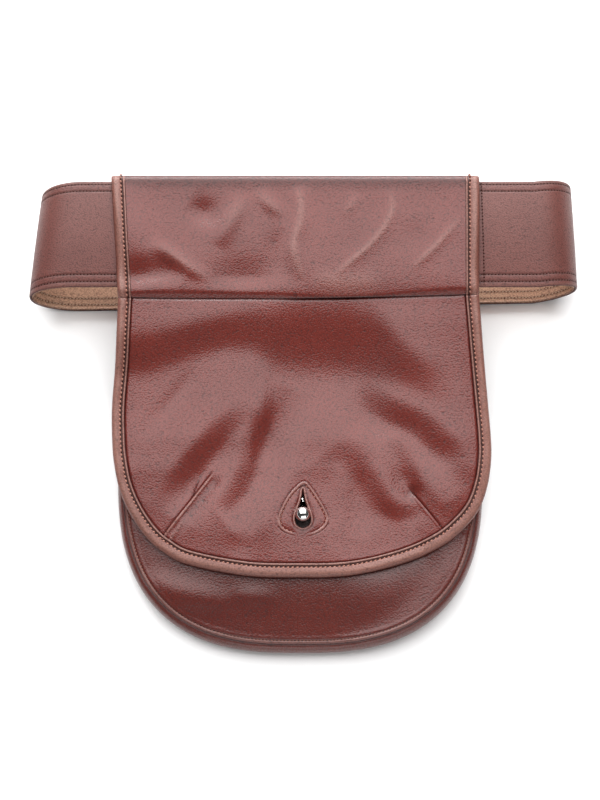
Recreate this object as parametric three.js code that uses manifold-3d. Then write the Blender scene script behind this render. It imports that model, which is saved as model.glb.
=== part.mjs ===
import * as THREE from 'three';
import { mergeVertices } from 'three/addons/utils/BufferGeometryUtils.js';
import Module from 'manifold-3d';

const wasm = await Module();
wasm.setup();

// Waist bag lying on its back, with its belt fastened in a loop behind the yoke.
// Millimetres: X runs across the bag, Y towards its top fold and Z up from the table.

// Lengths along the bag
const topY = 159.6;
const seamMiddleY = 73.2;
const seamSlope = 1.2;
const seamSag = 2.0;
const seamHalfWidth = 121;
const mouthY = 38;

// Leather and the gaps between pieces
const flapLeather = 1.6;
const yokeLeather = 1.4;
const pocketLeather = 1.6;
const bindingLeather = 1.0;
const seamGap = 0.2;
const edgeGap = 0.4;
const bindingGap = 0.45;
const flapClearance = 2.5;

// Back of the bag: flat on the table, then lifted towards the top fold
const riseStart = -75;
const topLift = 42;

// Pocket: outline of its front panel, gusset height at the rim and swell above that
const pocketAxis = -2.2;
const pocketHalfWidth = 115.2;
const pocketMiddleY = -35;
const pocketReach = 117;
const pocketSquareness = 2.72;
const gussetBulge = 6.1;
const swellPower = 2.6;
const edgeDroop = 4;
const droopStart = 0.94;
const droopSpan = 0.19;
const droopFadeIn = 58;
const lipDrop = 0.8;
const pocketDepths = [
  { y: -140, rim: 18, swell: 12 },
  { y: -125, rim: 18.8, swell: 12 },
  { y: -110, rim: 20, swell: 10.5 },
  { y: -90, rim: 21.2, swell: 9.5 },
  { y: -63, rim: 23.5, swell: 8.5 },
  { y: -40, rim: 23.4, swell: 8.5 },
  { y: -20, rim: 20.8, swell: 9 },
  { y: 0, rim: 17.2, swell: 8.2 },
  { y: 20, rim: 13.6, swell: 6.4 },
  { y: 28, rim: 12.2, swell: 5.6 },
  { y: 45, rim: 9.4, swell: 3.6 },
  { y: 58, rim: 7.3, swell: 2.2 },
  { y: 73, rim: 5, swell: 0.8 },
];

// Roll under the seam: it falls from its crest to its foot, and settles at one depth far below
const rollSoftness = 9;
const rollSettled = { from: 20, to: 150, drop: 6 };
const rollSections = [
  { x: -128, crest: 50, foot: 18, drop: 6.8 },
  { x: -102, crest: 57, foot: 21, drop: 7.4 },
  { x: -85, crest: 61, foot: 31, drop: 6.8 },
  { x: -68, crest: 64.5, foot: 39, drop: 6.2 },
  { x: -52, crest: 67, foot: 45, drop: 6 },
  { x: -35, crest: 69, foot: 45, drop: 6.6 },
  { x: -27, crest: 69.5, foot: 40, drop: 8 },
  { x: -19, crest: 70, foot: 31.5, drop: 10.4 },
  { x: -2, crest: 71, foot: 28.5, drop: 12.5 },
  { x: 31, crest: 70, foot: 27, drop: 12.5 },
  { x: 47, crest: 65, foot: 23, drop: 11 },
  { x: 55, crest: 57, foot: 21, drop: 9 },
  { x: 64, crest: 45, foot: 18, drop: 6.6 },
  { x: 72, crest: 38, foot: 14.5, drop: 5.2 },
  { x: 80, crest: 32, foot: 10, drop: 3.6 },
  { x: 90, crest: 28, foot: 6, drop: 1.6 },
  { x: 100, crest: 24, foot: 2, drop: 0 },
];

// Yoke: a sheet folded over the belt
const yokeDepth = 9.6;
const yokeFoldY = 154.4;
const yokeSides = { leftAtSeam: -124, leftAtTop: -130.2, rightAtSeam: 117.5, rightAtTop: 119 };
const yokeSwells = [
  { up: 0, rise: 0 },
  { up: 0.07, rise: 2.1 },
  { up: 0.12, rise: 2.5 },
  { up: 0.2, rise: 2.1 },
  { up: 0.32, rise: 1.2 },
  { up: 0.5, rise: 0.1 },
  { up: 0.75, rise: -0.9 },
  { up: 0.9, rise: -0.7 },
  { up: 1, rise: 0 },
];

// Binding: a folded strip round the edges of the flap and the yoke
const bindingWidth = 8.7;
const bindingRound = 1.8;

// Closure
const keyhole = { bulbX: -0.4, bulbY: -75.4, bulbRadius: 5.4, slotX: -0.4, slotY: -54.2, slotRadius: 0.9 };
const rimWidth = 1.2;
const rimRise = 0.7;
const stud = { baseY: -61.5, ballX: -0.4, ballY: -71, ballLift: 7, ballRadius: 4.7, neckRadius: 1.8 };
const studBase = { radius: 4.5, thickness: 1, gap: 0.3 };

// Belt: a dark strap with a tan lining, in one loop with lapped ends
const beltOuterLeather = 1.6;
const beltLiningLeather = 0.9;
const beltLayerGap = 0.3;
const beltThickness = beltOuterLeather + beltLayerGap + beltLiningLeather;
const beltFront = { lowerY: 83.5, upperY: 154.8, offset: 4.9 };
const beltBackWidth = 71.6;
const beltBackLowerY = { left: 79, right: 84.5 };
const beltBendRise = { left: 0, right: 4 };
const beltReach = { leftLower: 187.1, leftUpper: 180.6, rightLower: 187.1, rightUpper: 185 };
const beltBend = { left: 31, right: 27 };
const lapHalf = 35;
const lapRampFrom = 80;
const lapRampTo = 42;
const clasp = { length: 46, width: 54, thickness: 1.6, gap: 0.3 };
const lapLift = beltThickness + clasp.thickness + 2 * clasp.gap;

// Outline of the bound flap: left and right edge at each level, from the seam down
const flapSections = [
  { y: 74, left: -124, right: 117.5 },
  { y: 40, left: -125.4, right: 120 },
  { y: 5, left: -127.8, right: 122.6 },
  { y: -18, left: -127.2, right: 124 },
  { y: -34, left: -125.6, right: 123.8 },
  { y: -52.5, left: -121.4, right: 120.6 },
  { y: -69, left: -114, right: 113.6 },
  { y: -84, left: -103.6, right: 100 },
  { y: -94, left: -92.6, right: 84.6 },
  { y: -103, left: -75.6, right: 62 },
  { y: -110.6, left: -38, right: 29 },
];
const flapTip = { x: -4, y: -111.8 };

// Ridges (positive rise) and valleys of the flap and the pocket front beneath it
const frontFolds = [
  { fromX: -14, fromY: 2, viaX: 22, viaY: -12, toX: 52, toY: -22, rise: 1, reach: 20 },
  { fromX: 22, fromY: -40, viaX: 24, viaY: -56, toX: 23, toY: -86, rise: 0.7, reach: 6 },
  { fromX: 39, fromY: -36, viaX: 39, viaY: -56, toX: 37, toY: -82, rise: -0.7, reach: 8 },
];

// Steps of the flap: lines along which the leather falls to the right, then comes back over a length
const frontSteps = [
  {
    comeBack: 30,
    points: [
      { x: -93, y: -68, drop: 0, width: 14 },
      { x: -85, y: -53, drop: 3.2, width: 15 },
      { x: -77, y: -40, drop: 4.8, width: 16 },
      { x: -68.5, y: -31, drop: 5.2, width: 16 },
      { x: -60.5, y: -20, drop: 4.4, width: 16 },
      { x: -52, y: -11, drop: 2.8, width: 15 },
      { x: -42, y: -3, drop: 1, width: 14 },
      { x: -34, y: 3, drop: 0, width: 14 },
    ],
  },
  {
    comeBack: 26,
    points: [
      { x: -59, y: -67, drop: 0, width: 13 },
      { x: -50, y: -60, drop: 3.2, width: 13 },
      { x: -43.5, y: -50, drop: 5.2, width: 14 },
      { x: -37, y: -34, drop: 6.4, width: 14 },
      { x: -33, y: -18, drop: 6.2, width: 14 },
      { x: -28, y: -4, drop: 3.8, width: 14 },
      { x: -23, y: 8, drop: 1.4, width: 14 },
      { x: -19, y: 18, drop: 0, width: 13 },
    ],
  },
  {
    comeBack: 24,
    points: [
      { x: 32, y: 12, drop: 0, width: 15 },
      { x: 43, y: 9, drop: 1.8, width: 16 },
      { x: 55, y: 2, drop: 3.6, width: 17 },
      { x: 64, y: -3.5, drop: 4.4, width: 17 },
      { x: 80.5, y: -13, drop: 4.6, width: 17 },
      { x: 88.5, y: -20, drop: 4.6, width: 17 },
      { x: 97, y: -29.5, drop: 4, width: 17 },
      { x: 105, y: -40.5, drop: 1.8, width: 16 },
      { x: 112, y: -51, drop: 0, width: 16 },
    ],
  },
  {
    comeBack: 18,
    points: [
      { x: 65, y: -21, drop: 0, width: 10 },
      { x: 71, y: -32, drop: 3.6, width: 11 },
      { x: 76, y: -42, drop: 5.4, width: 12 },
      { x: 81, y: -50, drop: 5, width: 12 },
      { x: 88.5, y: -62, drop: 2.4, width: 12 },
      { x: 104, y: -83, drop: 0, width: 12 },
    ],
  },
  {
    comeBack: 44,
    points: [
      { x: 24, y: -22, drop: 0, width: 14 },
      { x: 33, y: -33.5, drop: 1.6, width: 14 },
      { x: 41, y: -44.5, drop: 2.6, width: 15 },
      { x: 48, y: -55.5, drop: 3.4, width: 16 },
      { x: 56, y: -63.5, drop: 3.8, width: 16 },
      { x: 64.5, y: -66.5, drop: 3.4, width: 15 },
      { x: 72.5, y: -64.5, drop: 2, width: 13 },
      { x: 80, y: -63, drop: 0, width: 12 },
    ],
  },
];

// Ridges and valleys of the yoke's front
const yokeFolds = [
  { fromX: -2, fromY: 148, viaX: -8, viaY: 102, toX: -2, toY: 84, rise: 1.5, reach: 8 },
  { fromX: 62, fromY: 148, viaX: 60, viaY: 125, toX: 24, toY: 92, rise: 1.5, reach: 9 },
  { fromX: 103, fromY: 129, viaX: 85, viaY: 111, toX: 65, toY: 92, rise: 1.4, reach: 9 },
  { fromX: -33, fromY: 150, viaX: -26, viaY: 141, toX: -19, toY: 129, rise: 1.1, reach: 8 },
  { fromX: -39, fromY: 147, viaX: -48, viaY: 133, toX: -56, toY: 119, rise: 1.2, reach: 8 },
  { fromX: -75, fromY: 143, viaX: -73, viaY: 140, toX: -71, toY: 136, rise: -0.9, reach: 10 },
  { fromX: -96, fromY: 115, viaX: -76, viaY: 99, toX: -64, toY: 84, rise: 1.4, reach: 8 },
  { fromX: -112, fromY: 110, viaX: -100, viaY: 104, toX: -84, toY: 95, rise: -1, reach: 9 },
];

const mix = THREE.MathUtils.lerp;
const ease = THREE.MathUtils.smoothstep;
const limit = THREE.MathUtils.clamp;

// Heights of the soft surfaces

function seamLine(x) {
  const side = x / seamHalfWidth;
  return seamMiddleY + seamSlope * side + seamSag * side * side;
}

function backHeight(y) {
  return topLift * ease(y, riseStart, topY);
}

// Value of a named column between the rows of a table, by another column that rises
function columnAt(rows, key, place, column) {
  const next = rows.findIndex((row) => row[key] > place);
  if (next === 0) {
    return rows[0][column];
  }
  if (next < 0) {
    return rows[rows.length - 1][column];
  }
  const before = rows[next - 1];
  const after = rows[next];
  return mix(before[column], after[column], (place - before[key]) / (after[key] - before[key]));
}

// Distance to a line, signed positive on its right, and the share of the line at its nearest point
function nearLine(x, y, fromX, fromY, toX, toY) {
  const spanX = toX - fromX;
  const spanY = toY - fromY;
  const share = ((x - fromX) * spanX + (y - fromY) * spanY) / (spanX * spanX + spanY * spanY);
  const held = limit(share, 0, 1);
  const distance = Math.hypot(x - fromX - held * spanX, y - fromY - held * spanY);
  const onRight = spanY * (x - fromX) - spanX * (y - fromY) > 0;
  return { distance, past: onRight ? distance : -distance, held };
}

function foldHeight(folds, x, y) {
  let height = 0;
  for (const fold of folds) {
    const first = nearLine(x, y, fold.fromX, fold.fromY, fold.viaX, fold.viaY);
    const second = nearLine(x, y, fold.viaX, fold.viaY, fold.toX, fold.toY);
    const away = Math.min(first.distance, second.distance) / fold.reach;
    height += fold.rise * Math.exp(-away * away);
  }
  return height;
}

function stepHeight(steps, x, y) {
  let height = 0;
  for (const { points, comeBack } of steps) {
    let nearest = Infinity;
    let past = 0;
    let drop = 0;
    let width = 1;
    for (let i = 1; i < points.length; i++) {
      const from = points[i - 1];
      const to = points[i];
      const near = nearLine(x, y, from.x, from.y, to.x, to.y);
      if (near.distance < nearest) {
        nearest = near.distance;
        past = near.past;
        drop = mix(from.drop, to.drop, near.held);
        width = mix(from.width, to.width, near.held);
      }
    }
    const fallen = ease(past, -0.6 * width, 0.6 * width);
    height -= drop * fallen * (1 - ease(past, 0.5 * width, 0.5 * width + comeBack));
  }
  return height;
}

function rollDrop(x, y) {
  const crest = columnAt(rollSections, 'x', x, 'crest');
  const foot = columnAt(rollSections, 'x', x, 'foot');
  const share = (crest - y) / (crest - foot);
  const started = Math.log1p(Math.exp(rollSoftness * share));
  const ended = Math.log1p(Math.exp(rollSoftness * (share - 1)));
  const fallen = (started - ended) / rollSoftness;
  const settled = ease(foot - y, rollSettled.from, rollSettled.to);
  return mix(columnAt(rollSections, 'x', x, 'drop') * fallen, rollSettled.drop, settled);
}

// 0 on the pocket's middle line and 1 on the seam of its front panel
function pocketRadius(x, y) {
  const side = Math.abs(x - pocketAxis) / pocketHalfWidth;
  const down = Math.max(pocketMiddleY - y, 0) / pocketReach;
  const power = pocketSquareness;
  return Math.pow(Math.pow(side, power) + Math.pow(down, power), 1 / power);
}

function pocketDepth(x, y) {
  const rim = columnAt(pocketDepths, 'y', y, 'rim');
  const swell = columnAt(pocketDepths, 'y', y, 'swell');
  const radius = pocketRadius(x, y);
  const overhang = Math.max(radius - droopStart, 0) / droopSpan;
  const droop = edgeDroop * ease(seamMiddleY - y, 0, droopFadeIn);
  return rim + swell * (1 - Math.pow(radius, swellPower)) - droop * overhang * overhang;
}

function frontHeight(x, y) {
  const radius = pocketRadius(x, y);
  const hold = (1 - ease(radius, 0.86, 1.04)) * ease(seamMiddleY - y, 2, 16);
  const folds = foldHeight(frontFolds, x, y) + stepHeight(frontSteps, x, y);
  return backHeight(y) + pocketDepth(x, y) - rollDrop(x, y) + hold * folds;
}

function flapHeight(x, y) {
  return frontHeight(x, y) + flapClearance + flapLeather / 2;
}

function surfaceNormal(height, x, y) {
  const step = 0.5;
  const slopeX = (height(x + step, y) - height(x - step, y)) / (2 * step);
  const slopeY = (height(x, y + step) - height(x, y - step)) / (2 * step);
  return new THREE.Vector3(-slopeX, -slopeY, 1).normalize();
}

// Solids from middle surfaces

function normalOf(middle, u, v) {
  const step = 0.004;
  const along = middle(Math.min(u + step, 1), v).sub(middle(Math.max(u - step, 0), v));
  const across = middle(u, Math.min(v + step, 1)).sub(middle(u, Math.max(v - step, 0)));
  return along.cross(across).normalize();
}

function shifted(middle, distance) {
  return (u, v) => middle(u, v).addScaledVector(normalOf(middle, u, v), distance);
}

function closedSolid(geometry) {
  geometry.deleteAttribute('normal');
  geometry.deleteAttribute('uv');
  return mergeVertices(geometry, 0.001);
}

function leatherWall(middle, columns, rows, thickness) {
  const geometry = new THREE.BoxGeometry(1, 1, 1, columns, rows, 1);
  const position = geometry.attributes.position;
  for (let i = 0; i < position.count; i++) {
    const u = position.getX(i) + 0.5;
    const v = position.getY(i) + 0.5;
    const point = shifted(middle, position.getZ(i) * thickness)(u, v);
    position.setXYZ(i, point.x, point.y, point.z);
  }
  return closedSolid(geometry);
}

// Closed ring of sections, each a closed loop with the same number of points
function ringSolid(sections) {
  const loop = sections[0].length;
  const points = sections.flat();
  const triangles = [];
  for (let i = 0; i < sections.length; i++) {
    const next = (i + 1) % sections.length;
    for (let j = 0; j < loop; j++) {
      const after = (j + 1) % loop;
      const a = i * loop + j;
      const b = next * loop + j;
      const c = next * loop + after;
      const d = i * loop + after;
      triangles.push(a, b, c, a, c, d);
    }
  }
  const geometry = new THREE.BufferGeometry().setFromPoints(points);
  geometry.setIndex(triangles);
  return geometry;
}

function toManifold(geometry) {
  const vertProperties = new Float32Array(geometry.attributes.position.array);
  const triVerts = new Uint32Array(geometry.index.array);
  return new wasm.Manifold(new wasm.Mesh({ numProp: 3, vertProperties, triVerts }));
}

function fromManifold(solid) {
  const mesh = solid.getMesh();
  const geometry = new THREE.BufferGeometry();
  geometry.setAttribute('position', new THREE.BufferAttribute(mesh.vertProperties, 3));
  geometry.setIndex(new THREE.BufferAttribute(mesh.triVerts, 1));
  return geometry;
}

// Outlines in plan, from the left end of the seam round the bottom to the right end

function planCurve(points) {
  const curve = new THREE.CatmullRomCurve3(points, false, 'centripetal');
  curve.arcLengthDivisions = 600;
  return curve;
}

function inwardAt(curve, share) {
  const tangent = curve.getTangentAt(share);
  return new THREE.Vector3(-tangent.y, tangent.x, 0).normalize();
}

function insetCurve(curve, distance, count) {
  const points = [];
  for (let i = 0; i <= count; i++) {
    const share = i / count;
    points.push(curve.getPointAt(share).addScaledVector(inwardAt(curve, share), distance));
  }
  return planCurve(points);
}

function flapOutline() {
  const left = flapSections.map((row) => new THREE.Vector3(row.left, row.y, 0));
  const right = flapSections.map((row) => new THREE.Vector3(row.right, row.y, 0)).reverse();
  left[0].y = seamLine(left[0].x) - seamGap;
  right[right.length - 1].y = seamLine(right[right.length - 1].x) - seamGap;
  return planCurve([...left, new THREE.Vector3(flapTip.x, flapTip.y, 0), ...right]);
}

function pocketOutline() {
  const points = [];
  const sideSteps = 6;
  const turnSteps = 40;
  for (let i = 0; i < sideSteps; i++) {
    const y = mix(mouthY, pocketMiddleY, i / sideSteps);
    points.push(new THREE.Vector3(pocketAxis - pocketHalfWidth, y, 0));
  }
  for (let i = 0; i <= turnSteps; i++) {
    const angle = Math.PI * i / turnSteps;
    const across = Math.sign(Math.cos(angle)) * Math.pow(Math.abs(Math.cos(angle)), 2 / pocketSquareness);
    const down = Math.pow(Math.sin(angle), 2 / pocketSquareness);
    const x = pocketAxis - pocketHalfWidth * across;
    points.push(new THREE.Vector3(x, pocketMiddleY - pocketReach * down, 0));
  }
  for (let i = sideSteps - 1; i >= 0; i--) {
    const y = mix(mouthY, pocketMiddleY, i / sideSteps);
    points.push(new THREE.Vector3(pocketAxis + pocketHalfWidth, y, 0));
  }
  return planCurve(points);
}

// Plan place inside a U-shaped outline, blended from its left, right, lower and top edges
function panelPlace(curve, corner, topLine) {
  const leftTop = curve.getPointAt(0);
  const rightTop = curve.getPointAt(1);
  const leftLow = curve.getPointAt(corner);
  const rightLow = curve.getPointAt(1 - corner);
  return (u, v) => {
    const left = curve.getPointAt(corner * (1 - v));
    const right = curve.getPointAt(1 - corner * (1 - v));
    const lower = curve.getPointAt(corner + (1 - 2 * corner) * u);
    const upper = leftTop.clone().lerp(rightTop, u);
    upper.y = topLine(upper.x);
    const sides = left.lerp(right, u);
    const ends = lower.lerp(upper, v);
    const corners = leftLow.clone().lerp(rightLow, u).lerp(leftTop.clone().lerp(rightTop, u), v);
    return sides.add(ends).sub(corners);
  };
}

// Shares of the outline at which a panel's edge has its corners
function edgeStations(corner, columns, rows) {
  const stations = [];
  for (let i = 0; i < rows; i++) {
    stations.push(corner * i / rows);
  }
  for (let i = 0; i < columns; i++) {
    stations.push(corner + (1 - 2 * corner) * i / columns);
  }
  for (let i = 0; i <= rows; i++) {
    stations.push(1 - corner + corner * i / rows);
  }
  return stations;
}

function stationAt(stations, u) {
  const place = u * (stations.length - 1);
  const index = Math.min(Math.floor(place), stations.length - 2);
  return mix(stations[index], stations[index + 1], place - index);
}

// Binding strip: a leg on the outer face, a round edge and a leg on the inner face
const bindingRows = 5;
function bindingMiddle(edge, stations, wall) {
  const reach = bindingWidth - bindingRound - 0.1;
  const stand = wall / 2 + bindingGap + bindingLeather / 2;
  const roundReach = bindingRound - bindingLeather / 2;
  return (u, v) => {
    const share = stationAt(stations, u);
    const row = v * bindingRows;
    const turn = limit((row - 1) / (bindingRows - 2), 0, 1) * Math.PI;
    const inset = reach * (row < 1 ? 1 - row : Math.max(row - bindingRows + 1, 0));
    const rim = edge(share, 0);
    const outward = rim.point.clone().sub(edge(share, 1).point).normalize();
    const held = edge(share, inset);
    const point = held.point.addScaledVector(held.normal, stand * Math.cos(turn));
    return point.addScaledVector(outward, roundReach * Math.sin(turn));
  };
}

// Flap and its binding
const flapColumns = 24;
const flapRows = 19;
const flapCorner = 0.36;
const flapEdge = insetCurve(flapOutline(), bindingRound, 90);
const flapPlace = panelPlace(flapEdge, flapCorner, (x) => seamLine(x) - seamGap);

function flapMiddle(u, v) {
  const place = flapPlace(u, v);
  return place.setZ(flapHeight(place.x, place.y));
}

function flapRim(share, inset) {
  const place = flapEdge.getPointAt(share).addScaledVector(inwardAt(flapEdge, share), inset);
  const point = place.clone().setZ(flapHeight(place.x, place.y));
  return { point, normal: surfaceNormal(flapHeight, place.x, place.y) };
}

function keyholePoint(angle, offset) {
  const outX = Math.cos(angle);
  const outY = Math.sin(angle);
  const bulbFar = keyhole.bulbX * outX + keyhole.bulbY * outY + keyhole.bulbRadius;
  const slotFar = keyhole.slotX * outX + keyhole.slotY * outY + keyhole.slotRadius;
  if (slotFar > bulbFar) {
    const radius = keyhole.slotRadius + offset;
    return new THREE.Vector2(keyhole.slotX + radius * outX, keyhole.slotY + radius * outY);
  }
  const radius = keyhole.bulbRadius + offset;
  return new THREE.Vector2(keyhole.bulbX + radius * outX, keyhole.bulbY + radius * outY);
}

function keyholeCutter() {
  const points = [];
  const steps = 30;
  for (let i = 0; i < steps; i++) {
    points.push(keyholePoint(2 * Math.PI * i / steps, rimWidth + edgeGap));
  }
  const geometry = new THREE.ExtrudeGeometry(new THREE.Shape(points), { depth: 60, bevelEnabled: false });
  return closedSolid(geometry);
}

function flapGeometry() {
  const panel = leatherWall(flapMiddle, flapColumns, flapRows, flapLeather);
  return fromManifold(toManifold(panel).subtract(toManifold(keyholeCutter())));
}

function flapBindingGeometry() {
  const stations = edgeStations(flapCorner, flapColumns, flapRows);
  const middle = bindingMiddle(flapRim, stations, flapLeather);
  return leatherWall(middle, stations.length - 1, bindingRows, bindingLeather);
}

function keyholeRimGeometry() {
  const sections = [];
  const steps = 30;
  for (let i = 0; i < steps; i++) {
    const angle = 2 * Math.PI * i / steps;
    const section = [];
    const levels = [
      { offset: 0, side: -1, rise: 0 },
      { offset: rimWidth, side: -1, rise: 0 },
      { offset: rimWidth, side: 1, rise: rimRise * 0.6 },
      { offset: rimWidth / 2, side: 1, rise: rimRise },
      { offset: 0, side: 1, rise: rimRise * 0.6 },
    ];
    for (const level of levels) {
      const place = keyholePoint(angle, level.offset);
      const z = flapHeight(place.x, place.y) + level.side * flapLeather / 2 + level.rise;
      section.push(new THREE.Vector3(place.x, place.y, z));
    }
    sections.push(section);
  }
  return ringSolid(sections);
}

// Yoke and its side bindings
const yokeColumns = 20;
const yokeFrontRows = 12;
const yokeTurnRows = 6;
const yokeBackRows = 4;
const yokeRows = yokeFrontRows + yokeTurnRows + yokeBackRows;

function yokeSide(u, y) {
  const up = (y - seamMiddleY) / (topY - seamMiddleY);
  const left = mix(yokeSides.leftAtSeam, yokeSides.leftAtTop, up) + bindingRound;
  const right = mix(yokeSides.rightAtSeam, yokeSides.rightAtTop, up) - bindingRound;
  return mix(left, right, u);
}

function yokeOffset(u, x, y) {
  const up = limit((y - seamMiddleY) / (yokeFoldY - seamMiddleY), 0, 1);
  const side = Math.pow(Math.abs(2 * u - 1), 6);
  const swell = columnAt(yokeSwells, 'up', up, 'rise') * (1 - side);
  const hold = (1 - side) * ease(up, 0.03, 0.2) * (1 - ease(up, 0.9, 1));
  return yokeDepth - yokeLeather / 2 + swell + hold * foldHeight(yokeFolds, x, y);
}

function yokeMiddle(u, v) {
  const row = v * yokeRows;
  const frontOffset = yokeDepth - yokeLeather / 2;
  const backOffset = yokeLeather / 2;
  const radius = (frontOffset - backOffset) / 2;
  const turn = limit((row - yokeFrontRows) / yokeTurnRows, 0, 1) * Math.PI;
  let y = yokeFoldY + (topY - yokeLeather / 2 - yokeFoldY) * Math.sin(turn);
  let offset = backOffset + radius * (1 + Math.cos(turn));
  const x = yokeSide(u, y);
  const lowest = seamLine(x) + seamGap;
  if (row < yokeFrontRows) {
    y = mix(lowest, yokeFoldY, row / yokeFrontRows);
    offset = yokeOffset(u, yokeSide(u, y), y);
  }
  if (row > yokeRows - yokeBackRows) {
    y = mix(lowest, yokeFoldY, (yokeRows - row) / yokeBackRows);
  }
  return new THREE.Vector3(yokeSide(u, y), y, backHeight(y) + offset);
}

function yokeRim(onLeft) {
  return (share, inset) => {
    const width = yokeSides.rightAtSeam - yokeSides.leftAtSeam - 2 * bindingRound;
    const u = onLeft ? inset / width : 1 - inset / width;
    return { point: yokeMiddle(u, share), normal: normalOf(yokeMiddle, u, share) };
  };
}

function yokeBindingGeometry(onLeft) {
  const stations = [];
  for (let i = 0; i <= yokeRows; i++) {
    stations.push(i / yokeRows);
  }
  const middle = bindingMiddle(yokeRim(onLeft), stations, yokeLeather);
  return leatherWall(middle, yokeRows, bindingRows, bindingLeather);
}

// Pocket: front panel, flat back and the gusset that joins their edges
const pocketColumns = 16;
const pocketRows = 12;
const pocketCorner = 0.34;
const pocketEdge = pocketOutline();

function pocketFrontMiddle(u, v) {
  const place = panelPlace(pocketEdge, pocketCorner, () => mouthY)(u, v);
  return place.setZ(frontHeight(place.x, place.y) - pocketLeather / 2);
}

function pocketBackMiddle(u, v) {
  const place = panelPlace(pocketEdge, pocketCorner, () => mouthY)(u, v);
  const stretch = ease(place.y, pocketMiddleY, mouthY);
  const y = place.y + stretch * (seamLine(place.x) - seamGap - mouthY);
  return place.set(place.x, y, backHeight(y) + pocketLeather / 2);
}

const gussetRows = 6;
function gussetGeometry() {
  const stations = edgeStations(pocketCorner, pocketColumns, pocketRows);
  const bulge = gussetBulge - edgeGap - pocketLeather / 2;
  const middle = (u, v) => {
    const share = stationAt(stations, u);
    const turn = Math.PI * v;
    const place = pocketEdge.getPointAt(share);
    const upper = frontHeight(place.x, place.y) - pocketLeather / 2 - lipDrop;
    const lower = backHeight(place.y) + pocketLeather / 2;
    const z = mix(lower, upper, (1 + Math.cos(turn)) / 2);
    place.addScaledVector(inwardAt(pocketEdge, share), -edgeGap - bulge * Math.sin(turn));
    return place.setZ(z);
  };
  return leatherWall(middle, stations.length - 1, gussetRows, pocketLeather);
}

// Ball stud: a base on the pocket front, with a neck that leans down to the ball
function studGeometry() {
  const base = new THREE.CylinderGeometry(studBase.radius, studBase.radius, studBase.thickness, 20);
  const normal = surfaceNormal(frontHeight, stud.ballX, stud.baseY);
  const seat = new THREE.Vector3(stud.ballX, stud.baseY, frontHeight(stud.ballX, stud.baseY));
  seat.addScaledVector(normal, studBase.gap + studBase.thickness / 2);
  const upright = new THREE.Vector3(0, 1, 0);
  base.applyQuaternion(new THREE.Quaternion().setFromUnitVectors(upright, normal));
  base.translate(seat.x, seat.y, seat.z);
  const ballZ = frontHeight(stud.ballX, stud.ballY) + stud.ballLift;
  const centre = new THREE.Vector3(stud.ballX, stud.ballY, ballZ);
  const ball = new THREE.SphereGeometry(stud.ballRadius, 14, 10);
  ball.translate(centre.x, centre.y, centre.z);
  const foot = seat.clone().addScaledVector(normal, studBase.thickness);
  const reach = centre.clone().sub(foot);
  const neck = new THREE.CylinderGeometry(stud.neckRadius, stud.neckRadius, reach.length(), 12);
  neck.applyQuaternion(new THREE.Quaternion().setFromUnitVectors(upright, reach.clone().normalize()));
  const halfway = foot.lerp(centre, 0.5);
  neck.translate(halfway.x, halfway.y, halfway.z);
  const pieces = [base, neck, ball].map((piece) => toManifold(closedSolid(piece)));
  return fromManifold(pieces[0].add(pieces[1]).add(pieces[2]));
}

// Belt: stations along the loop, from the lower lapped end round to the upper one
function beltSide(side, across) {
  const lower = side < 0 ? beltReach.leftLower : beltReach.rightLower;
  const upper = side < 0 ? beltReach.leftUpper : beltReach.rightUpper;
  const bend = side < 0 ? beltBend.left : beltBend.right;
  return side * (mix(lower, upper, across) - beltThickness / 2 - bend);
}

function runShare(x) {
  return (x - beltSide(-1, 0.5)) / (beltSide(1, 0.5) - beltSide(-1, 0.5));
}

function beltStations() {
  const stations = [];
  const runSteps = 5;
  const bendSteps = 10;
  const rampSteps = 4;
  for (let i = 0; i < runSteps; i++) {
    stations.push({ along: mix(runShare(lapHalf), 0, i / runSteps), side: -1, turn: 1, lift: 0 });
  }
  for (let i = 0; i < bendSteps; i++) {
    stations.push({ along: 0, side: -1, turn: 1 - i / bendSteps, lift: 0 });
  }
  for (let i = 0; i < runSteps; i++) {
    stations.push({ along: i / runSteps, side: 1, turn: 0, lift: 0 });
  }
  for (let i = 0; i < bendSteps; i++) {
    stations.push({ along: 1, side: 1, turn: i / bendSteps, lift: 0 });
  }
  stations.push({ along: 1, side: 1, turn: 1, lift: 0 });
  for (let i = 0; i <= rampSteps; i++) {
    const x = mix(lapRampFrom, lapRampTo, i / rampSteps);
    stations.push({ along: runShare(x), side: 1, turn: 1, lift: lapLift * ease(i, 0, rampSteps) });
  }
  stations.push({ along: runShare(0), side: 1, turn: 1, lift: lapLift });
  stations.push({ along: runShare(-lapHalf), side: 1, turn: 1, lift: lapLift });
  return stations;
}

function beltPoint(station, across) {
  const bend = station.side < 0 ? beltBend.left : beltBend.right;
  const run = mix(beltSide(-1, across), beltSide(1, across), station.along);
  const x = run + station.side * bend * Math.sin(Math.PI * station.turn);
  const frontY = mix(beltFront.lowerY, beltFront.upperY, across);
  const frontZ = backHeight(frontY) + beltFront.offset;
  const backY = mix(beltBackLowerY.left, beltBackLowerY.right, station.along) + beltBackWidth * across;
  const backZ = beltThickness / 2 + station.lift;
  const fall = (1 - Math.cos(Math.PI * station.turn)) / 2;
  const bendRise = station.side < 0 ? beltBendRise.left : beltBendRise.right;
  const rise = bendRise * Math.sin(Math.PI * station.turn);
  return new THREE.Vector3(x, mix(frontY, backY, fall) + rise, mix(frontZ, backZ, fall));
}

const beltRows = 4;
const beltRoute = beltStations();
function beltMiddle(u, v) {
  const place = u * (beltRoute.length - 1);
  const index = Math.min(Math.floor(place), beltRoute.length - 2);
  const from = beltPoint(beltRoute[index], v);
  return from.lerp(beltPoint(beltRoute[index + 1], v), place - index);
}

function beltLayer(distance, thickness) {
  return leatherWall(shifted(beltMiddle, distance), beltRoute.length - 1, beltRows, thickness);
}

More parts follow.
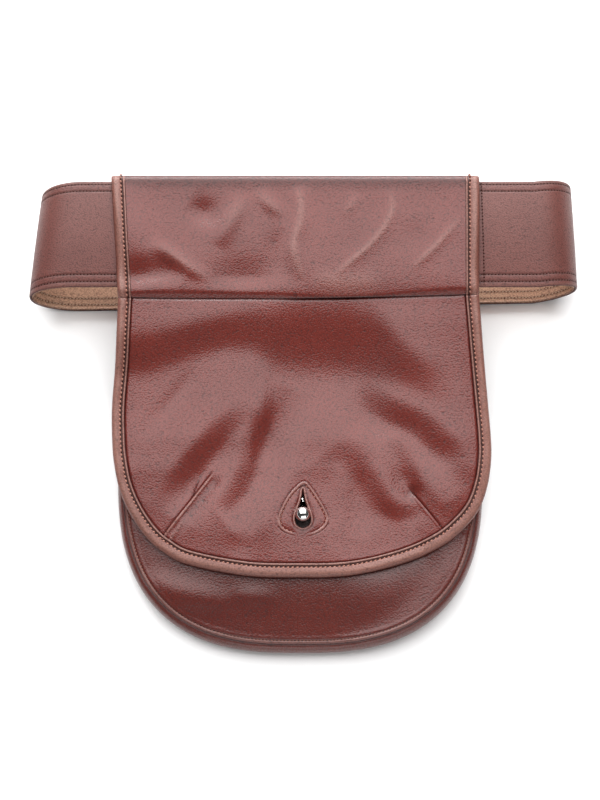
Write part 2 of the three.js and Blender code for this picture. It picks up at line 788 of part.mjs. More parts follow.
function claspGeometry() {
  const geometry = new THREE.BoxGeometry(clasp.length, clasp.width, clasp.thickness);
  const middleY = mix(beltBackLowerY.left, beltBackLowerY.right, runShare(0)) + beltBackWidth / 2;
  geometry.translate(0, middleY, beltThickness + clasp.gap + clasp.thickness / 2);
  return geometry;
}

// Leathers, metal and the hidden fastening pad
const brownLeather = { color: 0x7b4a45, roughness: 0.5, metalness: 0 };
const darkLeather = { color: 0x6e3c36, roughness: 0.5, metalness: 0 };
const edgeLeather = { color: 0x8a5a4e, roughness: 0.55, metalness: 0 };
const tanLeather = { color: 0x956b57, roughness: 0.7, metalness: 0 };
const polishedSteel = { color: 0xc8c8c8, roughness: 0.12, metalness: 1 };
const darkPad = { color: 0x3c2c28, roughness: 0.9, metalness: 0 };

const outerShift = (beltThickness - beltOuterLeather) / 2;
const liningShift = (beltLiningLeather - beltThickness) / 2;
const pieces = [
  {
    name: 'yoke',
    geometry: leatherWall(yokeMiddle, yokeColumns, yokeRows, yokeLeather),
    finish: brownLeather,
  },
  { name: 'yoke_binding_left', geometry: yokeBindingGeometry(true), finish: edgeLeather },
  { name: 'yoke_binding_right', geometry: yokeBindingGeometry(false), finish: edgeLeather },
  { name: 'flap', geometry: flapGeometry(), finish: brownLeather },
  { name: 'flap_binding', geometry: flapBindingGeometry(), finish: edgeLeather },
  { name: 'keyhole_rim', geometry: keyholeRimGeometry(), finish: edgeLeather },
  {
    name: 'pocket_front',
    geometry: leatherWall(pocketFrontMiddle, pocketColumns, pocketRows, pocketLeather),
    finish: darkLeather,
  },
  {
    name: 'pocket_back',
    geometry: leatherWall(pocketBackMiddle, pocketColumns, pocketRows, pocketLeather),
    finish: darkLeather,
  },
  { name: 'gusset', geometry: gussetGeometry(), finish: darkLeather },
  { name: 'ball_stud', geometry: studGeometry(), finish: polishedSteel },
  { name: 'belt_outer', geometry: beltLayer(outerShift, beltOuterLeather), finish: brownLeather },
  { name: 'belt_lining', geometry: beltLayer(liningShift, beltLiningLeather), finish: tanLeather },
  { name: 'belt_clasp', geometry: claspGeometry(), finish: darkPad },
];

// The origin is the middle of the footprint, on the table
const extent = new THREE.Box3();
for (const piece of pieces) {
  piece.geometry.computeBoundingBox();
  extent.union(piece.geometry.boundingBox);
}
const middle = extent.getCenter(new THREE.Vector3());

const bag = new THREE.Group();
for (const piece of pieces) {
  piece.geometry.translate(-middle.x, -middle.y, -extent.min.z);
  const mesh = new THREE.Mesh(piece.geometry, new THREE.MeshStandardMaterial(piece.finish));
  mesh.name = piece.name;
  bag.add(mesh);
}

export default bag;
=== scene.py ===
import math

import bmesh
import bpy
import numpy as np
from mathutils import Matrix, Vector


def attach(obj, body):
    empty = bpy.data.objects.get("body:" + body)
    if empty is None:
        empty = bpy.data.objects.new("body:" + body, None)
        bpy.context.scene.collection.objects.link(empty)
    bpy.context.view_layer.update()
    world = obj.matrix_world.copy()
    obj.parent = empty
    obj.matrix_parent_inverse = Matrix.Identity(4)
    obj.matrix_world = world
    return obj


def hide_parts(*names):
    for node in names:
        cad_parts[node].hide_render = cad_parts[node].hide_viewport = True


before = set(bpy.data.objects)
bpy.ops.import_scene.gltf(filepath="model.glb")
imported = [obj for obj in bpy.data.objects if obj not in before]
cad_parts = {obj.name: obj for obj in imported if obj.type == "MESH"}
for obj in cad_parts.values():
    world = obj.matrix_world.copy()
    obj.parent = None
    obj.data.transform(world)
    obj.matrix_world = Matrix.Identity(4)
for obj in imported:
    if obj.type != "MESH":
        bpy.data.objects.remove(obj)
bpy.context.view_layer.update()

scene = bpy.context.scene
mm = 0.001
print("frame loaded with", len(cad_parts), "nodes")

# camera, floor and light

studio = {
    "target": (-0.0023, 0.0061, 0.025), "elevation": 74, "distance": 1.1, "lens": 74.25,
    "floor": 4.0, "floorZ": -0.0003,
    "key": {"from": (-0.05, 1.3, 1.95), "size": (4.5, 3.1), "power": 151},
    "back": {"from": (-0.3, 2.7, 1.15), "size": (3.0, 0.8), "power": 95},
    "fill": {"from": (0.3, -1.7, 0.9), "size": (2.4, 1.2), "power": 19},
    "world": 0.07,
}


def aimed(thing, place, target):
    thing.location = Vector(place)
    thing.rotation_euler = (Vector(target) - Vector(place)).to_track_quat("-Z", "Y").to_euler()
    scene.collection.objects.link(thing)


def softbox(name, box):
    data = bpy.data.lights.new(name, "AREA")
    data.shape = "RECTANGLE"
    data.size, data.size_y = box["size"]
    data.energy = box["power"]
    aimed(bpy.data.objects.new(name, data), box["from"], (0, 0, 0))


def setStudio():
    data = bpy.data.cameras.new("camera")
    data.lens = studio["lens"]
    data.sensor_width = 36
    data.clip_start, data.clip_end = 0.01, 50
    camera = bpy.data.objects.new("camera", data)
    tilt = math.radians(studio["elevation"])
    target = Vector(studio["target"])
    away = Vector((0, -math.cos(tilt), math.sin(tilt))) * studio["distance"]
    aimed(camera, target + away, target)
    scene.camera = camera
    for name in ("key", "back", "fill"):
        softbox(name + "Light", studio[name])
    world = bpy.data.worlds.new("studio")
    world.use_nodes = True
    sky = world.node_tree.nodes["Background"]
    sky.inputs["Color"].default_value = (1, 1, 1, 1)
    sky.inputs["Strength"].default_value = studio["world"]
    scene.world = world
    scene.view_settings.view_transform = "Standard"
    print("studio set")


setStudio()

# shader groups of the leathers


def addNode(tree, kind, values=None, **settings):
    made = tree.nodes.new(kind)
    for key, value in settings.items():
        setattr(made, key, value)
    for key, value in (values or {}).items():
        made.inputs[key].default_value = value
    return made


def wire(tree, *links):
    for source, output, target, socket in links:
        tree.links.new(source.outputs[output], target.inputs[socket])


def newGroup(name, inputs, outputs):
    tree = bpy.data.node_groups.new(name, "ShaderNodeTree")
    for side, sockets in (("INPUT", inputs), ("OUTPUT", outputs)):
        for label, kind in sockets.items():
            tree.interface.new_socket(label, in_out=side, socket_type="NodeSocket" + kind)
    return tree, tree.nodes.new("NodeGroupInput"), tree.nodes.new("NodeGroupOutput")


def mathNode(tree, operation, first, second):
    made = tree.nodes.new("ShaderNodeMath")
    made.operation = operation
    for socket, value in zip(made.inputs, (first, second)):
        if isinstance(value, (int, float)):
            socket.default_value = value
        else:
            tree.links.new(value, socket)
    return made.outputs[0]


# pebbled pores with fine lines and dust between them, both scaled by the pores
grainLook = {"smooth": 0.2, "lines": 0.6, "dust": 2.2, "pitPower": 1.6, "pitDepth": -0.9, "dustRise": 0.25}


def makeGrain():
    tree, start, end = newGroup("leatherGrain", {"Place": "Vector", "Pores": "Float", "Creases": "Float"},
                                {"Height": "Float", "Pits": "Float"})
    size = start.outputs["Pores"]
    pores = addNode(tree, "ShaderNodeTexVoronoi", {"Smoothness": grainLook["smooth"]}, feature="SMOOTH_F1")
    lines = addNode(tree, "ShaderNodeTexNoise", {"Detail": 4, "Roughness": 0.65, "Distortion": 0.6})
    dust = addNode(tree, "ShaderNodeTexNoise", {"Detail": 2, "Roughness": 0.6})
    stretch = addNode(tree, "ShaderNodeMapping", {"Scale": (0.9, 1.1, 1.0)})
    wire(tree, (start, "Place", stretch, "Vector"))
    for texture, share in ((pores, 1), (lines, grainLook["lines"]), (dust, grainLook["dust"])):
        wire(tree, (stretch, "Vector", texture, "Vector"))
        tree.links.new(mathNode(tree, "MULTIPLY", size, share), texture.inputs["Scale"])
    pit = mathNode(tree, "POWER", pores.outputs["Distance"], grainLook["pitPower"])
    crease = mathNode(tree, "MULTIPLY", lines.outputs["Fac"], start.outputs["Creases"])
    speck = mathNode(tree, "MULTIPLY", dust.outputs["Fac"], grainLook["dustRise"])
    relief = mathNode(tree, "ADD", mathNode(tree, "MULTIPLY", pit, grainLook["pitDepth"]), crease)
    tree.links.new(mathNode(tree, "ADD", relief, speck), end.inputs["Height"])
    tree.links.new(pit, end.inputs["Pits"])
    return tree


# cloudy dye, with painted shade that darkens and dulls it in seams and hollows, darker grain pits, and a
# paler tint for rubbing and painted highlight
dyeLook = {"clouds": 26, "rubbedAndHighlit": (0.12, 0.085, 0.072, 1), "shadeAndPitTint": (0.22, 0.16, 0.16, 1), "pits": 0.8,
           "polish": -0.06, "dull": 0.25}


def makeDye():
    tree, start, end = newGroup(
        "leatherDye",
        {"Place": "Vector", "Deep": "Color", "Pale": "Color", "Seam": "Float", "RubAndHighlight": "Float",
         "Pits": "Float", "Gloss": "Float"},
        {"Color": "Color", "Roughness": "Float"})
    clouds = addNode(tree, "ShaderNodeTexNoise", {"Scale": dyeLook["clouds"], "Detail": 5, "Roughness": 0.6})
    spread = addNode(tree, "ShaderNodeMapRange", {"From Min": 0.3, "From Max": 0.72})
    dye = addNode(tree, "ShaderNodeMix", data_type="RGBA")
    rubbedAndLit = addNode(tree, "ShaderNodeMix", {"B": dyeLook["rubbedAndHighlit"]}, data_type="RGBA", blend_type="SCREEN")
    dark = addNode(tree, "ShaderNodeMix", {"B": dyeLook["shadeAndPitTint"]}, data_type="RGBA", blend_type="MULTIPLY")
    pitted = mathNode(tree, "MULTIPLY", start.outputs["Pits"], dyeLook["pits"])
    shadeAndPits = mathNode(tree, "MINIMUM", mathNode(tree, "ADD", start.outputs["Seam"], pitted), 1)
    wire(tree, (start, "Place", clouds, "Vector"), (clouds, "Fac", spread, "Value"),
         (spread, "Result", dye, "Factor"), (start, "Deep", dye, "A"), (start, "Pale", dye, "B"),
         (start, "RubAndHighlight", rubbedAndLit, "Factor"), (dye, "Result", rubbedAndLit, "A"))
    tree.links.new(shadeAndPits, dark.inputs["Factor"])
    wire(tree, (rubbedAndLit, "Result", dark, "A"), (dark, "Result", end, "Color"))
    polish = mathNode(tree, "MULTIPLY", spread.outputs["Result"], dyeLook["polish"])
    rough = mathNode(tree, "ADD", start.outputs["Gloss"], polish)
    dull = mathNode(tree, "MULTIPLY", shadeAndPits, dyeLook["dull"])
    tree.links.new(mathNode(tree, "ADD", rough, dull), end.inputs["Roughness"])
    return tree


grainGroup = makeGrain()
dyeGroup = makeDye()


def newFinish(name):
    made = bpy.data.materials.new(name)
    made.use_nodes = True
    return made, made.node_tree.nodes["Principled BSDF"]


# gloss is its roughness, relief the depth of the grain in millimetres
def leather(name, deep, pale, gloss, pores, creases, relief):
    made, shader = newFinish(name)
    tree = made.node_tree
    place = addNode(tree, "ShaderNodeTexCoord")
    grain = addNode(tree, "ShaderNodeGroup", {"Pores": pores, "Creases": creases}, node_tree=grainGroup)
    dye = addNode(tree, "ShaderNodeGroup", {"Deep": (*deep, 1), "Pale": (*pale, 1), "Gloss": gloss},
                  node_tree=dyeGroup)
    for group in (grain, dye):
        wire(tree, (place, "Object", group, "Place"))
    for socket, layer in (("Seam", "seamShade"), ("RubAndHighlight", "rubbedAndHighlit")):
        reader = addNode(tree, "ShaderNodeAttribute", attribute_name=layer)
        wire(tree, (reader, "Fac", dye, socket))
    wire(tree, (grain, "Pits", dye, "Pits"))
    bump = addNode(tree, "ShaderNodeBump", {"Strength": 1.0, "Distance": relief * mm})
    wire(tree, (grain, "Height", bump, "Height"), (dye, "Color", shader, "Base Color"),
         (dye, "Roughness", shader, "Roughness"), (bump, "Normal", shader, "Normal"))
    return made


# deep and pale tone, gloss, pores, creases, relief
bagLeather = leather("bagLeather", (0.135, 0.022, 0.0165), (0.172, 0.031, 0.0235), 0.2, 900, 0.3, 0.13)
# the pocket's leather is the bag's leather painted darker, as painted shade for the lip under the flap
shadedPocketLeather = leather("shadedPocketLeather", (0.096, 0.0165, 0.0125), (0.124, 0.024, 0.018), 0.25, 900, 0.3,
                        0.14)
edgeLeather = leather("edgeLeather", (0.16, 0.046, 0.031), (0.21, 0.068, 0.047), 0.4, 1000, 0.4, 0.06)
beltLeather = leather("beltLeather", (0.13, 0.034, 0.026), (0.168, 0.05, 0.039), 0.42, 1100, 0.3, 0.12)
# the lining's tan is painted paler, as painted light for the shaded inside of the belt loop
litTanLeather = leather("litTanLeather", (0.6, 0.36, 0.24), (0.72, 0.46, 0.31), 0.65, 900, 0.5, 0.08)


# colour that runs between two tones with a noise on the object
def toned(name, deep, pale, scale, detail):
    made, shader = newFinish(name)
    tree = made.node_tree
    noise = addNode(tree, "ShaderNodeTexNoise", {"Scale": scale, "Detail": detail})
    wire(tree, (addNode(tree, "ShaderNodeTexCoord"), "Object", noise, "Vector"))
    tone = addNode(tree, "ShaderNodeMix", {"A": (*deep, 1), "B": (*pale, 1)}, data_type="RGBA")
    wire(tree, (noise, "Fac", tone, "Factor"), (tone, "Result", shader, "Base Color"))
    return made, shader, noise.outputs["Fac"]


def threadFinish(name, deep, pale, level=0.5):
    made, shader, twist = toned(name, deep, pale, 1500, 2)
    tree = made.node_tree
    shader.inputs["Specular IOR Level"].default_value = level
    rough = mathNode(tree, "ADD", mathNode(tree, "MULTIPLY", twist, 0.2), 0.5)
    tree.links.new(rough, shader.inputs["Roughness"])
    fuzz = addNode(tree, "ShaderNodeBump", {"Strength": 0.6, "Distance": 0.1 * mm})
    tree.links.new(twist, fuzz.inputs["Height"])
    wire(tree, (fuzz, "Normal", shader, "Normal"))
    return made


brownThread = threadFinish("brownThread", (0.26, 0.10, 0.07), (0.38, 0.17, 0.12))
darkThread = threadFinish("darkThread", (0.06, 0.016, 0.012), (0.13, 0.042, 0.03))
creamThread = threadFinish("creamThread", (0.42, 0.32, 0.22), (0.60, 0.48, 0.34))
holeShade = threadFinish("holeShade", (0.02, 0.004, 0.003), (0.035, 0.007, 0.005), 0.05)


def polishedMetal():
    made, shader, smear = toned("polishedSteel", (0.72, 0.71, 0.70), (0.86, 0.85, 0.84), 400, 3)
    tree = made.node_tree
    shader.inputs["Metallic"].default_value = 1
    tree.links.new(mathNode(tree, "MULTIPLY", smear, 0.16), shader.inputs["Roughness"])
    return made


def padFinish():
    made, shader = toned("fasteningPad", (0.02, 0.014, 0.012), (0.07, 0.05, 0.045), 1800, 2)[:2]
    shader.inputs["Roughness"].default_value = 0.9
    return made


def floorFinish():
    made, shader = newFinish("paleFloor")
    shader.inputs["Base Color"].default_value = (0.95, 0.95, 0.95, 1)
    shader.inputs["Roughness"].default_value = 0.9
    shader.inputs["Specular IOR Level"].default_value = 0.1
    return made


steel = polishedMetal()
print("finishes ready")

# small tools for sheets, lines and pieces


def ease(value, low, high):
    share = np.clip((value - low) / (high - low), 0, 1)
    return share * share * (3 - 2 * share)


def blend(first, second, share):
    return first + (second - first) * share


def bell(value, middle, reach):
    return np.exp(-(((value - middle) / reach) ** 2))


def unit(rows):
    return rows / np.linalg.norm(rows, axis=-1)[..., None]


# length run up to each point of a line
def runAlong(points):
    return np.concatenate([[0], np.cumsum(np.linalg.norm(np.diff(points, axis=0), axis=1))])


def sheetGrid(columns, rows):
    bm = bmesh.new()
    bmesh.ops.create_grid(bm, x_segments=columns, y_segments=rows, size=0.5)
    bmesh.ops.translate(bm, verts=bm.verts, vec=(0.5, 0.5, 0))
    return bm


def gridShares(bm):
    return np.array([vert.co[:2] for vert in bm.verts]).T


# vertices go to millimetre points; originY moves the bag's own lines to the frame
originY = 1.475


def moveTo(bm, points):
    points = (np.asarray(points) - (0, originY, 0)) * mm
    for vert, point in zip(bm.verts, points):
        vert.co = point


def paint(bm, layer, values):
    store = bm.verts.layers.float.new(layer)
    for vert, value in zip(bm.verts, np.clip(values, 0, 1)):
        vert[store] = value


# painted shade and highlight that the dye reads: dark in seams and hollows, pale where rubbed and on lit
# crests
def paintShadeRubAndHighlight(bm, shade, rubAndHighlight):
    paint(bm, "seamShade", shade)
    paint(bm, "rubbedAndHighlit", rubAndHighlight)


# finer mesh where both ends of an edge are close to a sewn line
def denser(bm, close, cuts):
    near = {vert for vert, held in zip(bm.verts, close) if held}
    edges = [edge for edge in bm.edges if edge.verts[0] in near and edge.verts[1] in near]
    bmesh.ops.subdivide_edges(bm, edges=edges, cuts=cuts, use_grid_fill=True)


# a sheet that meets itself becomes one shell
def closeUp(bm):
    bmesh.ops.remove_doubles(bm, verts=bm.verts, dist=1e-6)
    bmesh.ops.recalc_face_normals(bm, faces=bm.faces)


def asMesh(bm, name):
    mesh = bpy.data.meshes.new(name)
    bm.to_mesh(mesh)
    bm.free()
    return mesh


def asObject(bm, name, finish):
    made = bpy.data.objects.new(name, asMesh(bm, name))
    made.data.materials.append(finish)
    scene.collection.objects.link(made)
    return made


def finished(bm, name, finish, nodes=(), wall=0, offset=0.0):
    piece = asObject(bm, name, finish)
    piece.data.shade_smooth()
    if wall:
        thick = piece.modifiers.new("wall", "SOLIDIFY")
        thick.thickness = wall * mm
        thick.offset = offset
    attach(piece, "root")
    if nodes:
        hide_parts(*nodes)
    return piece


# points on a smooth curve through the rows
def curved(points, steps, closed=False):
    if closed:
        ends = np.vstack([points[-1:], points, points[:2]])
    else:
        ends = np.vstack([2 * points[0] - points[1], points, 2 * points[-1] - points[-2]])
    t = np.linspace(0, 1, steps, endpoint=False)[:, None]
    rows = []
    for a, b, c, d in zip(ends, ends[1:], ends[2:], ends[3:]):
        rows.append(0.5 * (2 * b + (c - a) * t + (2 * a - 5 * b + 4 * c - d) * t ** 2
                           + (3 * b - a - 3 * c + d) * t ** 3))
    return np.vstack(rows + [ends[-2:-1]])


# smooth line through plan points, read by its share of length
def smoothLine(points, closed=False):
    line = curved(np.array(points, float), 24, closed)
    run = runAlong(line)

    def at(share):
        place = np.asarray(share) * run[-1]
        return np.stack([np.interp(place, run, line[:, 0]), np.interp(place, run, line[:, 1])], axis=-1)

    at.length = run[-1]
    at.points = line
    at.closed = closed
    return at


# plan places beside a line, to its left
def besideLine(line, share, distance):
    step = 0.002
    ahead, behind = share + step, share - step
    if line.closed:
        ahead, behind = ahead % 1, behind % 1
    span = unit(line(np.minimum(ahead, 1)) - line(np.maximum(behind, 0)))
    return line(share) + np.stack([-span[:, 1], span[:, 0]], axis=-1) * np.asarray(distance)[..., None]


def insetLine(line, distance, count=220):
    return smoothLine(besideLine(line, np.linspace(0, 1, count), distance))


# distance from a line of rows, the same signed by its side, and the rows' further columns at that place
def nearestOn(line, x, y):
    away, past = np.full(len(x), 1e9), np.zeros(len(x))
    columns = np.zeros((len(line[0]) - 2, len(x)))
    for a, b in zip(line, line[1:]):
        spanX, spanY = b[0] - a[0], b[1] - a[1]
        held = ((x - a[0]) * spanX + (y - a[1]) * spanY) / (spanX ** 2 + spanY ** 2 + 1e-9)
        held = np.clip(held, 0, 1)
        gap = np.hypot(x - a[0] - held * spanX, y - a[1] - held * spanY)
        near = gap < away
        away = np.where(near, gap, away)
        past = np.where(near, gap * np.sign(spanY * (x - a[0]) - spanX * (y - a[1])), past)
        for k in range(len(columns)):
            columns[k] = np.where(near, blend(a[k + 2], b[k + 2], held), columns[k])
    return away, past, columns


def awayFrom(points, x, y):
    return nearestOn(points, x, y)[0]


# signed distance from a closed line, negative inside
def insideLine(line, x, y):
    turns = line.points[::4]
    inside = np.zeros(len(x), bool)
    for (ax, ay), (bx, by) in zip(turns, turns[1:]):
        crosses = (ay > y) != (by > y)
        inside ^= crosses & (x < (bx - ax) * (y - ay) / (by - ay + 1e-12) + ax)
    away = awayFrom(turns, x, y)
    return np.where(inside, -away, away)


# each fold is a line of points: x, y, rise (negative is a valley) and half width there
def foldLines(folds):
    return [curved(np.array(fold, float), 5) for fold in folds]


def foldHeight(lines, x, y):
    height = np.zeros(len(x))
    for line in lines:
        away, _, (rise, reach) = nearestOn(line, x, y)
        height += rise * bell(away, 0, reach)
    return height


# each step is a line of points: x, y, drop to its right and width; the ground comes back over a length
def stepLines(steps):
    lines, backs = zip(*steps)
    return list(zip(foldLines(lines), backs))


def stepHeight(lines, x, y):
    height = np.zeros(len(x))
    for line, back in lines:
        _, past, (drop, width) = nearestOn(line, x, y)
        height -= drop * ease(past / width, -0.6, 0.6) * (1 - ease(past, 0.5 * width, 0.5 * width + back))
    return height


# plan place inside a U-shaped edge, blended from its sides, lower run and top line
def panelPlace(line, corner, topLine, u, v):
    leftTop, rightTop = line(0), line(1)
    leftLow, rightLow = line(corner), line(1 - corner)
    left, right = line(corner * (1 - v)), line(1 - corner * (1 - v))
    lower = line(corner + (1 - 2 * corner) * u)
    u, v = u[:, None], v[:, None]
    top = blend(leftTop, rightTop, u)
    upper = np.stack([top[:, 0], topLine(top[:, 0])], axis=-1)
    return blend(left, right, u) + blend(lower, upper, v) - blend(blend(leftLow, rightLow, u), top, v)


stitch = {"sides": 6, "rings": 4, "hole": (0.95, 1.5, 0.45), "holeSink": 0.12}


# places, turns and holes of stitches along a line of points
def stitchRow(points, normals, pitch, lean=0.2):
    run = runAlong(points)
    count = int(run[-1] / pitch)
    place = (np.arange(count) + 0.5) * run[-1] / count

    def read(rows, shift):
        return np.column_stack([np.interp(place + shift, run, column) for column in rows.T])

    up = unit(read(normals, 0))
    along = unit(read(points, pitch / 2) - read(points, -pitch / 2))
    along = unit(along + np.cross(up, along) * lean)
    across = unit(np.cross(up, along))
    turns = np.stack([along, across, np.cross(along, across)], axis=1)
    return read(points, 0), turns, read(points, pitch / 2) - stitch["holeSink"] * up


# one bead, kept as a mesh so that its copies stay in order
def makeBead():
    bm = bmesh.new()
    bmesh.ops.create_uvsphere(bm, u_segments=stitch["sides"], v_segments=stitch["rings"], radius=0.5)
    return asMesh(bm, "bead")


beadMesh = makeBead()


# the bead is doubled until there is one for each place, then every copy is set down in its row
def setBeads(name, places, turns, size, finish):
    bm = bmesh.new()
    bm.from_mesh(beadMesh)
    bead = np.array([vert.co for vert in bm.verts]) * size
    while len(bm.verts) < len(bead) * len(places):
        missing = len(places) - len(bm.verts) // len(bead)
        bm.verts.ensure_lookup_table()
        copied = bm.verts[:missing * len(bead)]
        faces = dict.fromkeys(face for vert in copied for face in vert.link_faces)
        bmesh.ops.duplicate(bm, geom=[*copied, *faces])
    moveTo(bm, (bead @ turns + places[:, None, :]).reshape(-1, 3))
    finished(bm, name, finish)


# threads in their rows, with a dark bead of painted shade in the needle hole between each two
def sew(name, rows, size, finish):
    places, turns, holes = (np.concatenate(part) for part in zip(*rows))
    setBeads(name, places, turns, size, finish)
    setBeads(name + "Holes", holes, turns, stitch["hole"], holeShade)


# the bag's own surfaces, in millimetres

bag = {
    "topY": 159.6, "riseStart": -75, "topLift": 42,
    "seam": (73.2, 1.2, 2.0, 121), "seamGap": 0.2,
    "axis": -2.2, "halfWidth": 115.2, "middleY": -35, "reach": 117, "square": 2.72,
    "swellPower": 2.6, "droop": 2.2, "droopStart": 0.94, "droopSpan": 0.19, "droopBelow": 58,
    # folds fade out at the rim, by its radius, and under the seam
    "rimFade": (0.86, 1.04), "seamFade": (2, 16),
    "clearance": 2.5, "flapWall": 1.6, "pocketWall": 1.6,
    # depth of the pocket by level: y, at the rim, added in the middle; read at fine levels and smoothed
    "levels": (-170, 110, 0.5), "smoothing": (18, 7),
    "depths": [(-140, 19.4, 10), (-125, 20.2, 10.4), (-110, 20.8, 10), (-90, 21.4, 9.5), (-63, 23.5, 8.5),
               (-40, 23.4, 8.5), (-20, 20.8, 9), (0, 17.2, 8.2), (20, 14.2, 6.4), (28, 13.2, 5.6),
               (45, 11.2, 3.6), (58, 9.9, 2.2), (73, 8.1, 0.8)],
    # roll under the seam: x, its crest, its foot and how far it drops; it settles at one depth far below
    "settled": 6, "settleOver": (20, 150), "rollSharp": 9,
    "roll": [(-128, 46, 26, 5), (-102, 49.5, 26, 5.6), (-85, 54, 31, 5.8), (-68, 58.5, 36.5, 5.8),
             (-52, 62.5, 41, 6), (-35, 65.5, 40, 6.6), (-27, 66.5, 36, 8), (-19, 68, 30, 10.4),
             (-2, 71, 28.5, 12.5), (31, 70, 27, 12.5), (47, 65, 23, 11), (55, 57, 21, 9), (64, 45, 18, 6.6),
             (72, 38, 14.5, 5.2), (80, 32, 10, 3.6), (90, 28, 6, 1.6), (100, 24, 2, 0)],
}


def seamLine(x):
    middle, slope, sag, half = bag["seam"]
    return middle + slope * x / half + sag * (x / half) ** 2


def backHeight(y):
    return bag["topLift"] * ease(y, bag["riseStart"], bag["topY"])


def depthTables():
    rows = np.array(bag["depths"])
    levels = np.arange(*bag["levels"])
    half, reach = bag["smoothing"]
    weights = bell(np.arange(-half, half + 1), 0, reach)
    weights /= weights.sum()
    tables = []
    for column in (1, 2):
        raw = np.pad(np.interp(levels, rows[:, 0], rows[:, column]), half, mode="edge")
        tables.append(np.convolve(raw, weights, mode="valid"))
    return levels, *tables


depthLevels, rimTable, swellTable = depthTables()


def pocketRadius(x, y):
    side = np.abs(x - bag["axis"]) / bag["halfWidth"]
    down = np.maximum(bag["middleY"] - y, 0) / bag["reach"]
    return (side ** bag["square"] + down ** bag["square"]) ** (1 / bag["square"])


def pocketDepth(x, y):
    radius = pocketRadius(x, y)
    rim = np.interp(y, depthLevels, rimTable)
    swell = np.interp(y, depthLevels, swellTable)
    over = np.maximum(radius - bag["droopStart"], 0) / bag["droopSpan"]
    droop = bag["droop"] * ease(bag["seam"][0] - y, 0, bag["droopBelow"])
    return rim + swell * (1 - radius ** bag["swellPower"]) - droop * over ** 2


def rollDrop(x, y):
    rows = np.array(bag["roll"])
    crest, foot, drop = (np.interp(x, rows[:, 0], rows[:, k]) for k in (1, 2, 3))
    share = (crest - y) / (crest - foot)
    sharp = bag["rollSharp"]
    ramp = (np.logaddexp(0, sharp * share) - np.logaddexp(0, sharp * (share - 1))) / sharp
    return blend(drop * ramp, bag["settled"], ease(foot - y, *bag["settleOver"]))


frontFolds = foldLines([
    [(-72, 28, 0, 4), (-85, 9, -0.8, 5), (-104, -14, -0.2, 6)],  # crease at the upper left
    [(-14, 2, 0.2, 18), (10, -10, 1, 20), (36, -12, 1, 20), (52, -22, 0.2, 16)],  # full front
    [(22, -36, 0, 5), (24, -52, 0.8, 6), (24, -72, 0.6, 6), (22, -90, 0, 6)],
    [(39, -30, 0, 7), (39, -46, -0.8, 7), (39, -72, -0.8, 8), (36, -88, 0, 8)],
    [(-27, -46, 0, 6), (-28, -60, 0.8, 6), (-24, -94, 0, 6)],
    [(-44, -82, 0, 7), (-42, -92, -0.6, 8), (-38, -102, 0, 8)],
    [(22, -99, 0, 14), (44, -99, -1.4, 14), (68, -95, 0, 14)],
])
frontSteps = stepLines([
    # left: two steps round the full fold that runs into the tuck
    ([(-93, -68, 0, 14), (-85, -53, 3.2, 15), (-77, -40, 4.8, 16), (-68.5, -31, 5.2, 16),
      (-60.5, -20, 4.4, 16), (-52, -11, 2.8, 15), (-42, -3, 1, 14), (-34, 3, 0, 14)], 30),
    ([(-58, -67, 0, 13), (-49, -60, 3.1, 13), (-42, -50, 5, 14), (-35.5, -34, 6.1, 14),
      (-31.5, -18, 6, 14), (-26.5, -4, 3.6, 14), (-21.5, 8, 1.3, 14), (-17.5, 18, 0, 13)], 26),
    # right: the long step to the edge, the short one past the tuck's tip and the one above the tuck
    ([(32, 12, 0, 15), (43, 9, 1.8, 16), (55, 2, 3.6, 17), (64, -3.5, 4.4, 17), (72, -7.5, 4.6, 17),
      (80.5, -13, 4.6, 17), (88.5, -20, 4.6, 17), (97, -29.5, 4, 17), (105, -40.5, 1.8, 16),
      (112, -51, 0, 16)], 24),
    ([(62, -18, 0, 10), (68, -30, 3.4, 11), (73, -42, 5.4, 12), (76, -51, 5, 12), (81, -60, 2.6, 12),
      (88, -69, 0.8, 12), (95, -76, 0, 12)], 18),
    ([(24, -22, 0, 14), (33, -33.5, 1.6, 14), (41, -44.5, 2.6, 15), (48, -55.5, 3.4, 16),
      (56, -63.5, 3.8, 16), (64.5, -66.5, 3.4, 15), (72.5, -64.5, 2, 13), (80, -63, 0, 12)], 44),
])


def frontHeight(x, y):
    radius = pocketRadius(x, y)
    hold = (1 - ease(radius, *bag["rimFade"])) * ease(bag["seam"][0] - y, *bag["seamFade"])
    folds = foldHeight(frontFolds, x, y) + stepHeight(frontSteps, x, y)
    return backHeight(y) + pocketDepth(x, y) - rollDrop(x, y) + hold * folds


def flapHeight(x, y):
    return frontHeight(x, y) + bag["clearance"] + bag["flapWall"] / 2


def slopeNormal(height, x, y):
    step = 0.6
    slopeX = (height(x + step, y) - height(x - step, y)) / (2 * step)
    slopeY = (height(x, y + step) - height(x, y - step)) / (2 * step)
    return unit(np.column_stack([-slopeX, -slopeY, np.ones(len(x))]))


def onSurface(height, x, y, lift=0):
    return np.column_stack([x, y, height(x, y) + lift])


# flap

